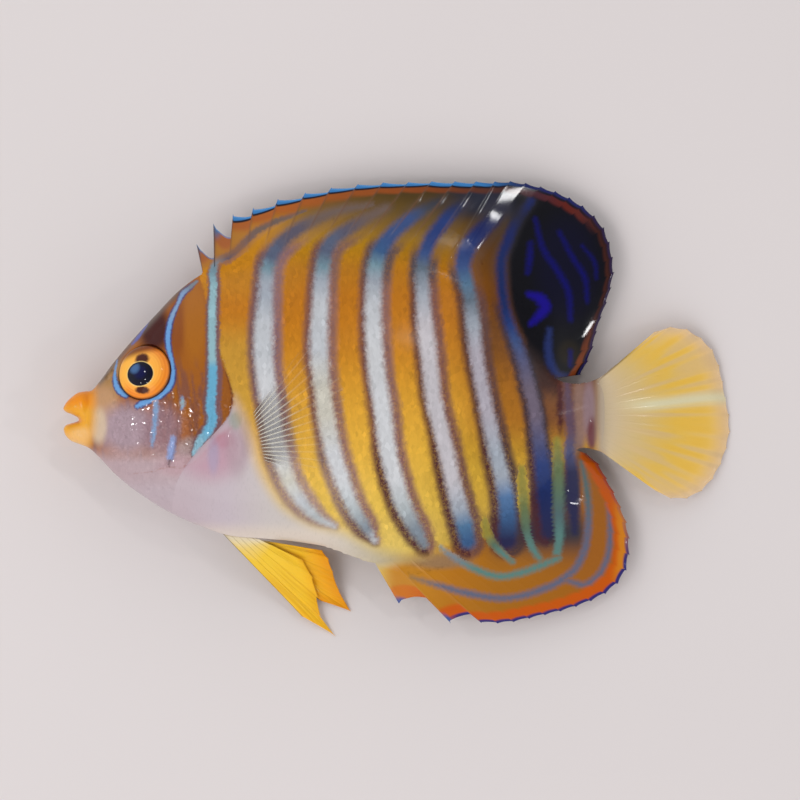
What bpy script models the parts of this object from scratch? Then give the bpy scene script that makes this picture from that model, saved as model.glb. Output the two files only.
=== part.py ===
"""A regal angelfish at life size, lying on its right side with its fins spread.

Every size below is in millimetres. +X runs towards the tail, +Y towards the back (dorsal side) and +Z up,
out of the left flank. The origin is under the middle of the fish, on the surface that it lies on.
The whole fish is one lens: a middle surface that sags a little towards the fins, with a half-thickness on
each side of it. Each sub-part is a region of that lens, so that neighbours meet face to face.
"""

import math

import bmesh
import bpy
import numpy as np
from mathutils import Matrix, Vector

MM = 0.001  # metres in a millimetre
GAP = 0.3  # left between neighbouring pieces
EDGE = 0.04  # half-thickness that a rounded edge ends with

# The outline of the flesh, head to tail: the back with the dorsal fin's base, and the belly with the anal fin's.
BACK = [(-43.5, 2.5), (-40.6, 6.2), (-37.6, 9.8), (-34.0, 13.7), (-31.0, 16.8), (-28.0, 19.0), (-24.0, 20.8),
        (-19.0, 22.4), (-12.0, 23.5), (-5.0, 23.7), (1.0, 22.7), (6.5, 20.5), (11.0, 17.4), (15.0, 13.5),
        (18.5, 9.2), (21.0, 5.9), (22.8, 4.0), (25.0, 3.5), (28.4, 4.3)]
BELLY = [(-43.6, -5.8), (-40.0, -9.3), (-36.0, -12.4), (-32.0, -14.8), (-28.0, -16.6), (-24.0, -17.9),
         (-18.7, -18.4), (-14.0, -18.9), (-10.0, -19.6), (-6.5, -20.8), (-3.4, -21.8), (0.0, -21.3),
         (5.0, -20.3), (10.0, -18.9), (14.0, -16.9), (18.0, -14.0), (21.5, -10.6), (24.0, -7.4),
         (25.8, -5.6), (28.4, -5.9)]
# Two edges on the side of the head, each as (height y, place x), from the belly up.
GILL_EDGE = [(-14.8, -32.0), (-11.0, -31.4), (-8.6, -30.3), (-6.8, -29.0), (-4.8, -27.2), (-2.8, -25.3),
             (-0.8, -23.7), (1.5, -23.3), (5.0, -24.2), (9.0, -25.5), (14.0, -26.8), (19.0, -28.1)]
CHEEK_EDGE = [(-10.2, -38.8), (-9.3, -37.2), (-8.7, -35.2), (-8.0, -33.0), (-6.8, -31.9), (-4.0, -31.3),
              (0.0, -31.1), (5.0, -31.4), (10.0, -32.2), (14.6, -33.1)]
HEAD_FRONT = -43.5  # where the head ends and the jaws begin
STALK_FRONT = ((25.7, -5.65), (22.7, 4.05))  # the cut between torso and tail stalk, at the belly and the back
STALK_REAR = 28.1

# Half the fish's thickness along its length.
HALF_WIDTH = [(-48.0, 1.6), (-44.0, 2.7), (-40.0, 4.3), (-36.0, 5.6), (-32.0, 6.4), (-28.0, 6.9), (-22.0, 7.2),
              (-12.0, 7.15), (-2.0, 6.6), (8.0, 5.5), (16.0, 4.2), (22.0, 3.0), (28.5, 2.0)]
WIDEST_AT = 0.46  # height of the widest line, as a share of the depth from belly to back
FIN_BASE = 0.85  # half-thickness where the dorsal and anal fins grow out
PELVIC_BASE = 1.25  # half-thickness of the belly's edge where the pelvic fins grow out
PELVIC_BASE_SPAN = (-24.6, -18.2)
COVER_RISE = 0.35  # how far the gill cover stands proud of the flank
COVER_REACH = 10.0
CHEEK_RISE = 0.22  # and the cheek over the gill cover
CHEEK_REACH = 5.0
SHOULDER_PAD = (-22.1, -3.7, 1.6, 3.6, 0.55)  # the pectoral fin's fleshy root: centre, half-sizes and height

# How the fish lies.
MID_HEIGHT = 6.35  # of its middle surface over the floor, so that the flank that it lies on is pressed flat
HEAD_LIFT = 0.65  # so that the lower eye stays clear
STALK_SAG = 0.9
SNOUT_SAG = 0.9
UNDER_FIN = (-14.0, -0.4, 9.0, 11.2, 1.2)  # where the right pectoral fin is pressed under: centre, sizes, height

CHEEK_SPINE_ROOT, CHEEK_SPINE_TIP = (-31.35, -3.4), (-32.3, -8.0)
CHEEK_SPINE_RADIUS = 0.6
NOSTRILS = [(-41.1, 4.5, 0.36), (-40.3, 5.4, 0.3)]  # place and radius of each pit

MEMBRANE = 0.25  # half-thickness of a fin between its rays
RAY_RISE = 0.15  # how far a soft ray stands out on each face at its root
SPINE_RISE = 0.3
RAY_FOOT = 0.22  # half the width of a ray's ridge, as a share of the space between rays
TIP_FOOT = 0.4  # and at most this at the tip
RIM_NOTCH = 0.025  # how far the membrane stops short of a ray's tip, as a share of the ray

DORSAL_SPINE_TIPS = [(-28.6, 23.5), (-26.2, 26.4), (-23.4, 27.8), (-20.5, 28.7), (-17.0, 29.9), (-13.1, 30.8),
                     (-9.4, 31.5), (-5.6, 32.0), (-2.0, 32.25), (1.6, 32.3), (4.9, 32.4), (8.2, 32.4),
                     (11.2, 32.4), (13.9, 32.4)]
DORSAL_SPINE_BASES = (-27.6, 6.8)  # x of the first and the last
DORSAL_CROWDING = 1.15  # the front spines stand closer together
DORSAL_NOTCHES = [0.0, 0.9, 0.49, 0.14, 0.12, 0.1, 0.06, 0.05]  # in front of each spine
DORSAL_REAR_NOTCHES = [0.33, 0.2, 0.07, 0.07, 0.06, 0.05, 0.05, 0.04, 0.04]
DORSAL_SOFT_RIM = [(13.9, 32.4), (16.4, 32.45), (20.0, 31.8), (24.0, 30.4), (27.4, 28.2), (29.7, 25.4),
                   (30.5, 22.6), (30.9, 20.0), (30.1, 16.0), (28.6, 11.8), (27.6, 7.8), (26.2, 4.9)]
DORSAL_END = 22.3
ANAL_SPINE_TIPS = [(0.2, -27.7), (7.6, -30.5), (12.0, -30.5)]
ANAL_SPINE_BASES = (-3.2, 1.6)
ANAL_NOTCHES = [0.0, 0.62, 0.27]
ANAL_REAR_NOTCHES = [0.2, 0.14, 0.05]
ANAL_SOFT_RIM = [(12.0, -30.5), (15.4, -30.5), (20.0, -29.6), (26.0, -28.0), (30.0, -26.1), (32.3, -23.8),
                 (33.1, -20.5), (32.9, -17.0), (31.4, -12.9), (29.8, -9.8), (28.4, -7.4), (27.1, -6.4)]
ANAL_END = 25.4
SOFT_RAYS = 18  # in the dorsal fin, and in the anal fin
DORSAL_SAG, ANAL_SAG = 2.2, 2.6  # how much lower the rim lies than the base
CAUDAL_RIM = [(36.6, 11.0), (38.6, 11.7), (41.0, 11.5), (43.5, 10.0), (45.4, 7.8), (46.2, 5.0), (46.8, 2.0),
              (47.3, -0.5), (47.5, -3.0), (46.7, -6.5), (45.2, -9.7), (43.0, -12.0), (40.2, -12.95),
              (38.2, -12.5), (36.8, -11.7)]
CAUDAL_RAYS = 17
CAUDAL_ROOT = 1.3  # half-thickness
CAUDAL_END = 47.5
PECTORAL_BASE = [(-20.4, -0.7), (-20.1, -3.6), (-19.4, -6.3)]
PECTORAL_RIM = [(-13.2, 8.6), (-11.4, 8.5), (-9.4, 6.8), (-7.9, 4.0), (-7.3, 0.5), (-7.6, -3.0), (-9.2, -6.2),
                (-11.6, -8.4), (-14.5, -9.3)]
PECTORAL_RAYS = 16
PECTORAL_ROOT = 0.3
PECTORAL_LIFT = 0.7  # how far the fin's rim stands off the flank
LEFT_PELVIC_BASE = [(-24.3, -18.2), (-19.2, -18.7)]
LEFT_PELVIC_TIPS = [(-13.6, -29.6), (-8.8, -32.5), (-10.9, -29.6), (-11.2, -27.0), (-11.9, -24.2), (-13.2, -21.6)]
RIGHT_PELVIC_BASE = [(-23.4, -18.3), (-18.6, -18.75)]
RIGHT_PELVIC_TIPS = [(-10.9, -27.4), (-6.6, -28.9), (-8.3, -25.8), (-9.1, -23.2), (-9.7, -21.3), (-10.6, -20.1)]
PELVIC_ROOT = 0.42
PELVIC_APART = 0.58  # each pelvic fin's root from the fish's middle
PELVIC_LIES_FROM = -29.2  # y beyond which the fins lie on the floor

EYE_CENTRE = (-36.1, 5.3)
EYE_RADIUS = 4.05
EYE_DEPTH = 2.15  # the eyeball's other half-axis
EYE_STANDS_OUT = 1.15

COLOURS = {
    "skin": (0.82, 0.50, 0.10, 1), "lip": (0.93, 0.60, 0.15, 1), "eye": (0.95, 0.55, 0.10, 1),
    "dark_fin": (0.10, 0.10, 0.35, 1), "orange_fin": (0.80, 0.35, 0.05, 1), "yellow_fin": (0.92, 0.72, 0.25, 1),
    "clear_fin": (0.85, 0.83, 0.75, 1),
}
WET = 0.25  # roughness


class Path:
    """A smooth curve through a few points, sampled finely and measured along its length."""

    STEPS = 24

    def __init__(self, points):
        points = np.array(points, float)
        knots = np.concatenate([[0], np.cumsum(np.linalg.norm(np.diff(points, axis=0), axis=1))])
        slopes = np.gradient(points, knots, axis=0)
        fine = []
        for k in range(len(points) - 1):
            length = knots[k + 1] - knots[k]
            for step in range(self.STEPS):
                t = step / self.STEPS
                fine.append(
                    (2 * t**3 - 3 * t**2 + 1) * points[k] + (t**3 - 2 * t**2 + t) * length * slopes[k]
                    + (3 * t**2 - 2 * t**3) * points[k + 1] + (t**3 - t**2) * length * slopes[k + 1]
                )
        self.fine = np.array(fine + [points[-1]])
        along = np.concatenate([[0], np.cumsum(np.linalg.norm(np.diff(self.fine, axis=0), axis=1))])
        self.share = along / along[-1]

    def at(self, share):
        """The point at a share of the curve's length."""
        return np.array([np.interp(share, self.share, self.fine[:, axis]) for axis in (0, 1)])

    def second_at(self, first):
        """The second coordinate where the first has a value, on a curve whose first coordinate only grows."""
        return np.interp(first, self.fine[:, 0], self.fine[:, 1])

    def share_at(self, first):
        return np.interp(first, self.fine[:, 0], self.share)


BACK_PATH = Path(BACK)
BELLY_PATH = Path(BELLY)
WIDTH_PATH = Path(HALF_WIDTH)
GILL_PATH = Path(GILL_EDGE)
CHEEK_PATH = Path(CHEEK_EDGE)


def ease(value, start, end):
    """0 before start, 1 after end, and smooth between them."""
    t = min(1.0, max(0.0, (value - start) / (end - start)))
    return t * t * (3 - 2 * t)


def mix(a, b, share):
    return a + (b - a) * share


def half_thickness(x, y):
    """Half the flesh's thickness at a point of the side view."""
    top, bottom = BACK_PATH.second_at(x), BELLY_PATH.second_at(x)
    widest = mix(bottom, top, WIDEST_AT)
    upper = y > widest
    height = (y - widest) / (top - widest) if upper else (widest - y) / (widest - bottom)
    height = min(1.0, max(0.0, height))
    if upper:
        edge = mix(EDGE, FIN_BASE, ease(x, -29.5, -27.2) * (1 - 0.3 * ease(x, 22, 25)))
        fall = mix(0.55, 1.05, ease(x, -34, -22))
    else:
        pelvic = ease(x, PELVIC_BASE_SPAN[0] - 2.5, PELVIC_BASE_SPAN[0]) * (
            1 - ease(x, PELVIC_BASE_SPAN[1], PELVIC_BASE_SPAN[1] + 2.5))
        anal = ease(x, -5.2, -3.2) * (1 - 0.3 * ease(x, 24, 27))
        edge = max(EDGE, PELVIC_BASE * pelvic, FIN_BASE * anal)
        fall = mix(0.55, 1.0, ease(x, -16, 4))
    return edge + (WIDTH_PATH.second_at(x) - edge) * (1 - height**2.3) ** fall


def head_relief(x, y):
    """How far the gill cover and the cheek lift the head's surface, most along their rear edges."""
    side = ease(y, -12, -7.5) * (1 - ease(y, 6, 13))
    behind_cheek = x - CHEEK_PATH.second_at(y)
    cover = 1 - ease(GILL_PATH.second_at(y) - x, 2.0, COVER_REACH)
    cheek = ease(behind_cheek, -CHEEK_REACH, 0) * (1 - ease(behind_cheek, 0, GAP))
    return side * (COVER_RISE * cover + CHEEK_RISE * cheek * (1 - ease(y, 3, 8)))


def torso_relief(x, y):
    """The fleshy pad that carries the pectoral fin."""
    centre_x, centre_y, half_x, half_y, height = SHOULDER_PAD
    away = math.hypot((x - centre_x) / half_x, (y - centre_y) / half_y)
    return height * (1 - ease(away, 0.3, 1.0))


def middle(x):
    """Height of the flesh's middle surface over the floor."""
    return MID_HEIGHT + HEAD_LIFT * ease(-x, 24, 35) - SNOUT_SAG * ease(-x, 34, 48) - STALK_SAG * ease(x, 4, 30)


def lowest(x, y):
    """How low the right flank may reach: the floor, or the top of the pectoral fin that is pressed under it."""
    centre_x, centre_y, half_x, half_y, height = UNDER_FIN
    away = math.hypot((x - centre_x) / half_x, (y - centre_y) / half_y)
    return height * (1 - ease(away, 1.0, 1.18))


def even(count):
    return [k / (count - 1) for k in range(count)]


def crowded_at_ends(count):
    return [0.5 - 0.5 * math.cos(math.pi * t) for t in even(count)]


def material(name):
    made = bpy.data.materials.new(name)
    made.use_nodes = True
    shader = made.node_tree.nodes["Principled BSDF"]
    shader.inputs["Base Color"].default_value = COLOURS[name]
    shader.inputs["Roughness"].default_value = WET
    shader.inputs["Metallic"].default_value = 0.0
    return made


def signed_volume(mesh):
    total = 0.0
    for face in mesh.polygons:
        a, b, c = (mesh.vertices[v].co for v in face.vertices)
        total += a.dot(b.cross(c))
    return total / 6


def shade(mesh):
    mesh.shade_smooth()
    mesh.set_sharp_from_angle(angle=math.radians(40))


def closed_plate(name, top, bottom, look):
    """A solid between two grids of points of one size, with a wall round them, split alike on both faces."""
    rows, columns = len(top), len(top[0])
    points = [p for grid in (top, bottom) for row in grid for p in row]

    def index(side, i, j):
        return (side * rows + i) * columns + j

    faces = []
    for i in range(rows - 1):
        for j in range(columns - 1):
            a, b, c, d = (i, j), (i + 1, j), (i + 1, j + 1), (i, j + 1)
            for first, second, third in ((a, b, c), (a, c, d)):
                faces.append([index(0, *first), index(0, *second), index(0, *third)])
                faces.append([index(1, *first), index(1, *third), index(1, *second)])
    ring = [(i, 0) for i in range(rows)] + [(rows - 1, j) for j in range(1, columns)]
    ring += [(i, columns - 1) for i in range(rows - 2, -1, -1)] + [(0, j) for j in range(columns - 2, 0, -1)]
    for here, there in zip(ring, ring[1:] + ring[:1]):
        faces.append([index(0, *there), index(0, *here), index(1, *here)])
        faces.append([index(0, *there), index(1, *here), index(1, *there)])
    mesh = bpy.data.meshes.new(name)
    mesh.from_pydata([tuple(c * MM for c in p) for p in points], [], faces)
    if signed_volume(mesh) < 0:
        mesh.flip_normals()
    shade(mesh)
    mesh.materials.append(look)
    made = bpy.data.objects.new(name, mesh)
    bpy.context.scene.collection.objects.link(made)
    return made


def flesh_plate(name, place, alongs, acrosses, look, relief=None):
    """A region of the flesh: place gives the side-view point of each share along and across it."""
    top, bottom = [], []
    for along in alongs:
        over, under = [], []
        for across in acrosses:
            x, y = place(along, across)
            half = half_thickness(x, y) + (relief(x, y) if relief else 0)
            over.append((x, y, middle(x) + half))
            under.append((x, y, max(middle(x) - half, lowest(x, y), 0.0)))
        top.append(over)
        bottom.append(under)
    return closed_plate(name, top, bottom, look)


def flank_height(x, y, side, relief):
    """Height of the left (side 1) or right (side -1) flank's surface."""
    return middle(x) + side * (half_thickness(x, y) + relief(x, y))


def combine(made, others, operation):
    """Joins other closed pieces to an object, or cuts them out of it, and keeps its largest closed surface."""
    group = bpy.data.collections.new(made.name + "_others")
    bpy.context.scene.collection.children.link(group)
    for other in others:
        for holder in list(other.users_collection):
            holder.objects.unlink(other)
        group.objects.link(other)
    change = made.modifiers.new("change", "BOOLEAN")
    change.operation = operation
    change.operand_type = "COLLECTION"
    change.collection = group
    bpy.context.view_layer.update()
    changed = bpy.data.meshes.new_from_object(made.evaluated_get(bpy.context.evaluated_depsgraph_get()))
    made.modifiers.clear()
    made.data = changed
    for other in others:
        bpy.data.objects.remove(other)
    bpy.data.collections.remove(group)
    keep_largest(made.data)
    shade(made.data)


def keep_largest(mesh):
    work = bmesh.new()
    work.from_mesh(mesh)
    bmesh.ops.triangulate(work, faces=work.faces)
    unseen = set(work.verts)
    groups = []
    while unseen:
        stack = [unseen.pop()]
        group = set(stack)
        while stack:
            for edge in stack.pop().link_edges:
                for vert in edge.verts:
                    if vert in unseen:
                        unseen.remove(vert)
                        group.add(vert)
                        stack.append(vert)
        groups.append(group)
    largest = max(groups, key=len)
    bmesh.ops.delete(work, geom=[v for v in work.verts if v not in largest], context="VERTS")
    work.to_mesh(mesh)
    work.free()


def ball(name, centre, half_sizes, outward, segments, rings):
    """An ellipsoid whose third half-axis points outward."""
    bpy.ops.mesh.primitive_uv_sphere_add(segments=segments, ring_count=rings, radius=1)
    made = bpy.context.object
    made.name = name
    turn = Vector(outward).to_track_quat("Z", "Y").to_matrix().to_4x4()
    size = Matrix.Diagonal([s * MM for s in half_sizes] + [1])
    made.data.transform(Matrix.Translation(Vector(centre) * MM) @ turn @ size)
    made.data.shade_smooth()
    return made


def cheek_spine(side):
    """The strong spine at the corner of the cheek, which lies along the skin and points down and back."""
    ends = []
    for (x, y), depth, radius in ((CHEEK_SPINE_ROOT, -0.1, CHEEK_SPINE_RADIUS), (CHEEK_SPINE_TIP, 0.45, EDGE)):
        z = flank_height(x, y, side, head_relief) + side * depth
        ends.append(Vector((x, y, max(z, radius))) * MM)
    along = ends[1] - ends[0]
    bpy.ops.mesh.primitive_cone_add(vertices=8, radius1=CHEEK_SPINE_RADIUS * MM, radius2=EDGE * MM,
                                    depth=along.length)
    made = bpy.context.object
    turn = along.to_track_quat("Z", "Y").to_matrix().to_4x4()
    made.data.transform(Matrix.Translation((ends[0] + ends[1]) / 2) @ turn)
    return made


def eye_frame(side):
    """Where an eyeball's centre lies, and the way that it looks."""
    x, y = EYE_CENTRE
    step = 2.0
    slope_x = (half_thickness(x + step, y) - half_thickness(x - step, y)) / (2 * step)
    slope_y = (half_thickness(x, y + step) - half_thickness(x, y - step)) / (2 * step)
    outward = Vector((-slope_x, -slope_y, side)).normalized()
    surface = Vector((x, y, middle(x) + side * half_thickness(x, y)))
    return surface + outward * (EYE_STANDS_OUT - EYE_DEPTH), outward


def eyeball(name, side, grow):
    centre, outward = eye_frame(side)
    sizes = (EYE_RADIUS + grow, EYE_RADIUS + grow, EYE_DEPTH + grow)
    return ball(name, centre, sizes, outward, segments=24, rings=12)


def make_eye(name, side, look):
    made = eyeball(name, side, 0)
    made.data.materials.append(look)


def row_height(low_x, high_x, across):
    """The height of a row of the head or the torso on the line from the belly's outline to the back's."""
    return mix(BELLY_PATH.second_at(low_x), BACK_PATH.second_at(high_x), across)


def head_place(along, across):
    """Side-view point of the head: one column follows the cheek's edge, and the last one the gill cover's."""
    cheek_at = 0.6
    columns = (0, cheek_at, 1)
    low_x = np.interp(along, columns, (HEAD_FRONT, CHEEK_EDGE[0][1], GILL_EDGE[0][1]))
    high_x = np.interp(along, columns, (HEAD_FRONT, CHEEK_EDGE[-1][1], GILL_EDGE[-1][1]))
    cheek_x = CHEEK_PATH.second_at(row_height(CHEEK_EDGE[0][1], CHEEK_EDGE[-1][1], across))
    gill_x = GILL_PATH.second_at(row_height(GILL_EDGE[0][1], GILL_EDGE[-1][1], across))
    return np.interp(along, columns, (HEAD_FRONT, cheek_x, gill_x)), row_height(low_x, high_x, across)


def make_head(look):
    alongs = [0, 0.07, 0.15, 0.23, 0.31, 0.39, 0.47, 0.54, 0.6, 0.63, 0.7, 0.78, 0.86, 0.94, 1]
    head = flesh_plate("head", head_place, alongs, crowded_at_ends(25), look, head_relief)
    combine(head, [cheek_spine(1), cheek_spine(-1)], "UNION")
    cutters = [eyeball(f"socket_{side}", side, GAP) for side in (1, -1)]
    for side in (1, -1):
        for x, y, radius in NOSTRILS:
            z = middle(x) + side * half_thickness(x, y)
            cutters.append(ball("nostril", (x, y, z), (radius, radius, radius), (0, 0, side), 8, 6))
    combine(head, cutters, "DIFFERENCE")


def torso_place(along, across):
    """Side-view point of the torso, whose first column follows the gill cover's edge."""
    front = (GILL_EDGE[0][1] + GAP, GILL_EDGE[-1][1] + GAP)
    rear = (STALK_FRONT[0][0] - GAP / 2, STALK_FRONT[1][0] - GAP / 2)
    low_x, high_x = (mix(front[k], rear[k], along) for k in (0, 1))
    bulge = GILL_PATH.second_at(row_height(*front, across)) + GAP - mix(*front, across)
    x = mix(low_x, high_x, across) + bulge * max(0.0, 1 - along / 0.6) ** 2
    return x, row_height(low_x, high_x, across)


def make_torso(look):
    flesh_plate("torso", torso_place, even(29), crowded_at_ends(19), look, torso_relief)


def make_stalk(look):
    def place(along, across):
        low_x = mix(STALK_FRONT[0][0] + GAP / 2, STALK_REAR, along)
        high_x = mix(STALK_FRONT[1][0] + GAP / 2, STALK_REAR, along)
        low = np.array([low_x, BELLY_PATH.second_at(low_x)])
        high = np.array([high_x, BACK_PATH.second_at(high_x)])
        return mix(low, high, across)

    flesh_plate("tail_stalk", place, even(5), crowded_at_ends(13), look)


def jaw(name, upper_line, lower_line, look):
    """One fleshy jaw with its lip, from the head's front face to the mouth."""
    upper, lower = Path(upper_line), Path(lower_line)
    root_half, lip_half = 2.5, 1.8
    top, bottom = [], []
    for along in crowded_at_ends(10):
        over, under = [], []
        for across in crowded_at_ends(9):
            x, y = mix(lower.at(along), upper.at(along), across)
            width = mix(root_half, lip_half, ease(along, 0, 0.6)) * (1 - ease(along, 0.55, 1.0) ** 2) ** 0.5
            half = EDGE + width * (1 - abs(2 * across - 1) ** 2.6) ** 0.5
            over.append((x, y, middle(x) + half))
            under.append((x, y, middle(x) - half))
        top.append(over)
        bottom.append(under)
    closed_plate(name, top, bottom, look)


def make_jaws(look):
    rear = HEAD_FRONT - GAP
    jaw("upper_jaw", [(rear, 2.35), (-44.9, 2.4), (-46.2, 1.9), (-47.1, 0.9), (-47.5, -0.1)],
        [(rear, -1.5), (-45.2, -1.4), (-46.2, -1.0), (-46.9, -0.75), (-47.4, -0.4)], look)
    jaw("lower_jaw", [(rear, -1.85), (-45.2, -1.85), (-46.3, -2.0), (-47.1, -2.15), (-47.4, -2.5)],
        [(rear, -5.55), (-44.8, -5.45), (-46.0, -5.0), (-46.9, -4.2), (-47.5, -3.0)], look)


def fin(name, bases, tips, row_count, membrane, rise, height, look, front_notches=(), rear_notches=()):
    """A fin with a ridge on both faces along every ray, from its base point to its tip.

    membrane and rise give the half-thickness between the rays and the ridge's height on it, by row, and
    height gives the fin's middle surface. A notch is the share of the ray that stands clear of the membrane.
    """
    top, bottom = [], []
    for k in range(len(tips)):
        for offset in (-RAY_FOOT, 0, RAY_FOOT):
            if not 0 <= k + offset <= len(tips) - 1:
                continue
            beside = k + int(math.copysign(1, offset)) if offset else k
            root = mix(bases[k], bases[beside], abs(offset))
            tip = tips[k]
            if offset:
                space = math.dist(tips[k], tips[beside])
                tip = mix(tips[k], tips[beside], min(abs(offset), TIP_FOOT / space))
                notches = front_notches if offset < 0 else rear_notches
                tip = mix(tip, root, notches[k] if k < len(notches) else RIM_NOTCH)
            over, under = [], []
            for row in even(row_count):
                x, y = mix(root, tip, row)
                half = membrane(row, k) + (rise(row, k) if not offset else 0)
                over.append((x, y, height(x, y, row) + half))
                under.append((x, y, max(height(x, y, row) - half, 0.0)))
            top.append(over)
            bottom.append(under)
    return closed_plate(name, top, bottom, look)


def soft_rise(row, ray):
    return RAY_RISE * (1 - 0.5 * row)


def unpaired_fin(name, base_path, spine_shares, spine_tips, end, soft_rim, notches, rear_notches, sag, look):
    """The dorsal or the anal fin: spines and then soft rays, rooted along the flesh's edge."""
    spines = len(spine_tips)
    rim = Path(soft_rim)
    soft = [k / SOFT_RAYS for k in range(1, SOFT_RAYS + 1)]
    shares = list(spine_shares) + [mix(spine_shares[-1], base_path.share_at(end), t) for t in soft]
    tips = [np.array(tip, float) for tip in spine_tips] + [rim.at(t) for t in soft]
    bases = []
    for share, tip in zip(shares, tips):
        base = base_path.at(share)
        run = base_path.at(share + 0.01) - base_path.at(share - 0.01)
        normal = np.array([-run[1], run[0]]) / np.linalg.norm(run)
        ray = (tip - base) / np.linalg.norm(tip - base)
        bases.append(base + ray * GAP / max(0.6, abs(ray @ normal)))

    def membrane(row, ray):
        return mix(FIN_BASE, MEMBRANE, ease(row, 0, 0.7))

    def rise(row, ray):
        return SPINE_RISE * (1 - row) if ray < spines else soft_rise(row, ray)

    def height(x, y, row):
        return middle(min(x, STALK_REAR)) - sag * row**1.5

    fin(name, bases, tips, 6, membrane, rise, height, look, notches, rear_notches)


def make_dorsal(look):
    first, last = (BACK_PATH.share_at(x) for x in DORSAL_SPINE_BASES)
    shares = [mix(first, last, t**DORSAL_CROWDING) for t in even(len(DORSAL_SPINE_TIPS))]
    unpaired_fin("dorsal_fin", BACK_PATH, shares, DORSAL_SPINE_TIPS, DORSAL_END, DORSAL_SOFT_RIM,
                 DORSAL_NOTCHES, DORSAL_REAR_NOTCHES, DORSAL_SAG, look)


def make_anal(look):
    first, last = (BELLY_PATH.share_at(x) for x in ANAL_SPINE_BASES)
    shares = [mix(first, last, t) for t in even(len(ANAL_SPINE_TIPS))]
    unpaired_fin("anal_fin", BELLY_PATH, shares, ANAL_SPINE_TIPS, ANAL_END, ANAL_SOFT_RIM,
                 ANAL_NOTCHES, ANAL_REAR_NOTCHES, ANAL_SAG, look)


def make_caudal(look):
    rim = Path(CAUDAL_RIM)
    start = STALK_REAR + GAP
    low, high = BELLY_PATH.second_at(STALK_REAR), BACK_PATH.second_at(STALK_REAR)
    bases = [np.array([start, mix(high, low, t)]) for t in even(CAUDAL_RAYS)]
    tips = [rim.at(t) for t in even(CAUDAL_RAYS)]

    def membrane(row, ray):
        off_middle = abs(2 * ray / (CAUDAL_RAYS - 1) - 1)
        return mix(CAUDAL_ROOT * mix(1, 0.45, off_middle**2), MEMBRANE, ease(row, 0, 0.5))

    def height(x, y, row):
        return mix(middle(STALK_REAR), MEMBRANE, (max(0, x - start) / (CAUDAL_END - start)) ** 1.3)

    fin("caudal_fin", bases, tips, 7, membrane, soft_rise, height, look)


def make_pectoral(name, side, look):
    base, rim = Path(PECTORAL_BASE), Path(PECTORAL_RIM)
    bases = [base.at(t) for t in even(PECTORAL_RAYS)]
    tips = [rim.at(t) for t in even(PECTORAL_RAYS)]

    def membrane(row, ray):
        return mix(PECTORAL_ROOT, MEMBRANE, ease(row, 0, 0.4))

    def height(x, y, row):
        half = membrane(row, 0) + soft_rise(row, 0)
        if side < 0:
            return half
        return flank_height(x, y, side, torso_relief) + GAP + half + PECTORAL_LIFT * row

    fin(name, bases, tips, 6, membrane, soft_rise, height, look)


def make_pelvic(name, base_ends, tip_points, side, look):
    tips = [np.array(tip) for tip in tip_points]
    bases = [mix(np.array(base_ends[0]), np.array(base_ends[1]), t) for t in even(len(tips))]
    lying = GAP + 2 * MEMBRANE

    def membrane(row, ray):
        return mix(PELVIC_ROOT, MEMBRANE, ease(row, 0, 0.3))

    def rise(row, ray):
        return SPINE_RISE * (1 - row) * 0.7 if ray == 0 else soft_rise(row, ray)

    def height(x, y, row):
        level = mix(middle(-21), lying, ease(-y, -base_ends[0][1], -PELVIC_LIES_FROM)) + side * PELVIC_APART
        return level - (0.9 * ease(-y, 28.9, 32.5) if side > 0 else 0)

    fin(name, bases, tips, 9, membrane, rise, height, look)


def main():
    for old in list(bpy.data.objects):
        bpy.data.objects.remove(old)
    looks = {name: material(name) for name in COLOURS}
    make_head(looks["skin"])
    make_torso(looks["skin"])
    make_stalk(looks["skin"])
    make_jaws(looks["lip"])
    make_eye("eye_left", 1, looks["eye"])
    make_eye("eye_right", -1, looks["eye"])
    make_dorsal(looks["dark_fin"])
    make_anal(looks["orange_fin"])
    make_caudal(looks["yellow_fin"])
    make_pectoral("pectoral_fin_left", 1, looks["clear_fin"])
    make_pectoral("pectoral_fin_right", -1, looks["clear_fin"])
    make_pelvic("pelvic_fin_left", LEFT_PELVIC_BASE, LEFT_PELVIC_TIPS, 1, looks["yellow_fin"])
    make_pelvic("pelvic_fin_right", RIGHT_PELVIC_BASE, RIGHT_PELVIC_TIPS, -1, looks["yellow_fin"])


main()
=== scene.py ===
"""The looks of a regal angelfish on its right side: skin, scales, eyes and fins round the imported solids.

Sizes are in millimetres unless a name says otherwise. +X runs towards the tail, +Y towards the back with the
dorsal fin, and +Z up, out of the left flank. A point (x, y) is a place in the side view of the fish. The
flesh and the two fins along its back and belly are one lens, a middle surface with a half-thickness on each
side, and every piece reads its height and its markings from the same functions of (x, y).
"""

import math

import bpy
import numpy as np
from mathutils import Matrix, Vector


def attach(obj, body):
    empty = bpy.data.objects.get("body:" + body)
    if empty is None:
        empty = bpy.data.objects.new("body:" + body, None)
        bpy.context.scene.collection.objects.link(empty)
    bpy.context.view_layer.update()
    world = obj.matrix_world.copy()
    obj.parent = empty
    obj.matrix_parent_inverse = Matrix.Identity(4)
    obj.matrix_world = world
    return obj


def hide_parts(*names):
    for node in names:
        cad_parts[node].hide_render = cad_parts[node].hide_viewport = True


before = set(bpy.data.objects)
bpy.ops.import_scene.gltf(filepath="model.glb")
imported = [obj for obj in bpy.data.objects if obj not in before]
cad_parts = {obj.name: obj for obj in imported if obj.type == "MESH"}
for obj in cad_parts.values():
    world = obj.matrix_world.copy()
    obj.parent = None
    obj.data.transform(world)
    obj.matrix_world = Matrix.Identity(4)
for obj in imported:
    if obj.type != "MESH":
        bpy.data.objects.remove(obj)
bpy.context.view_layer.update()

MM = 0.001  # metres in a millimetre

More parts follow.
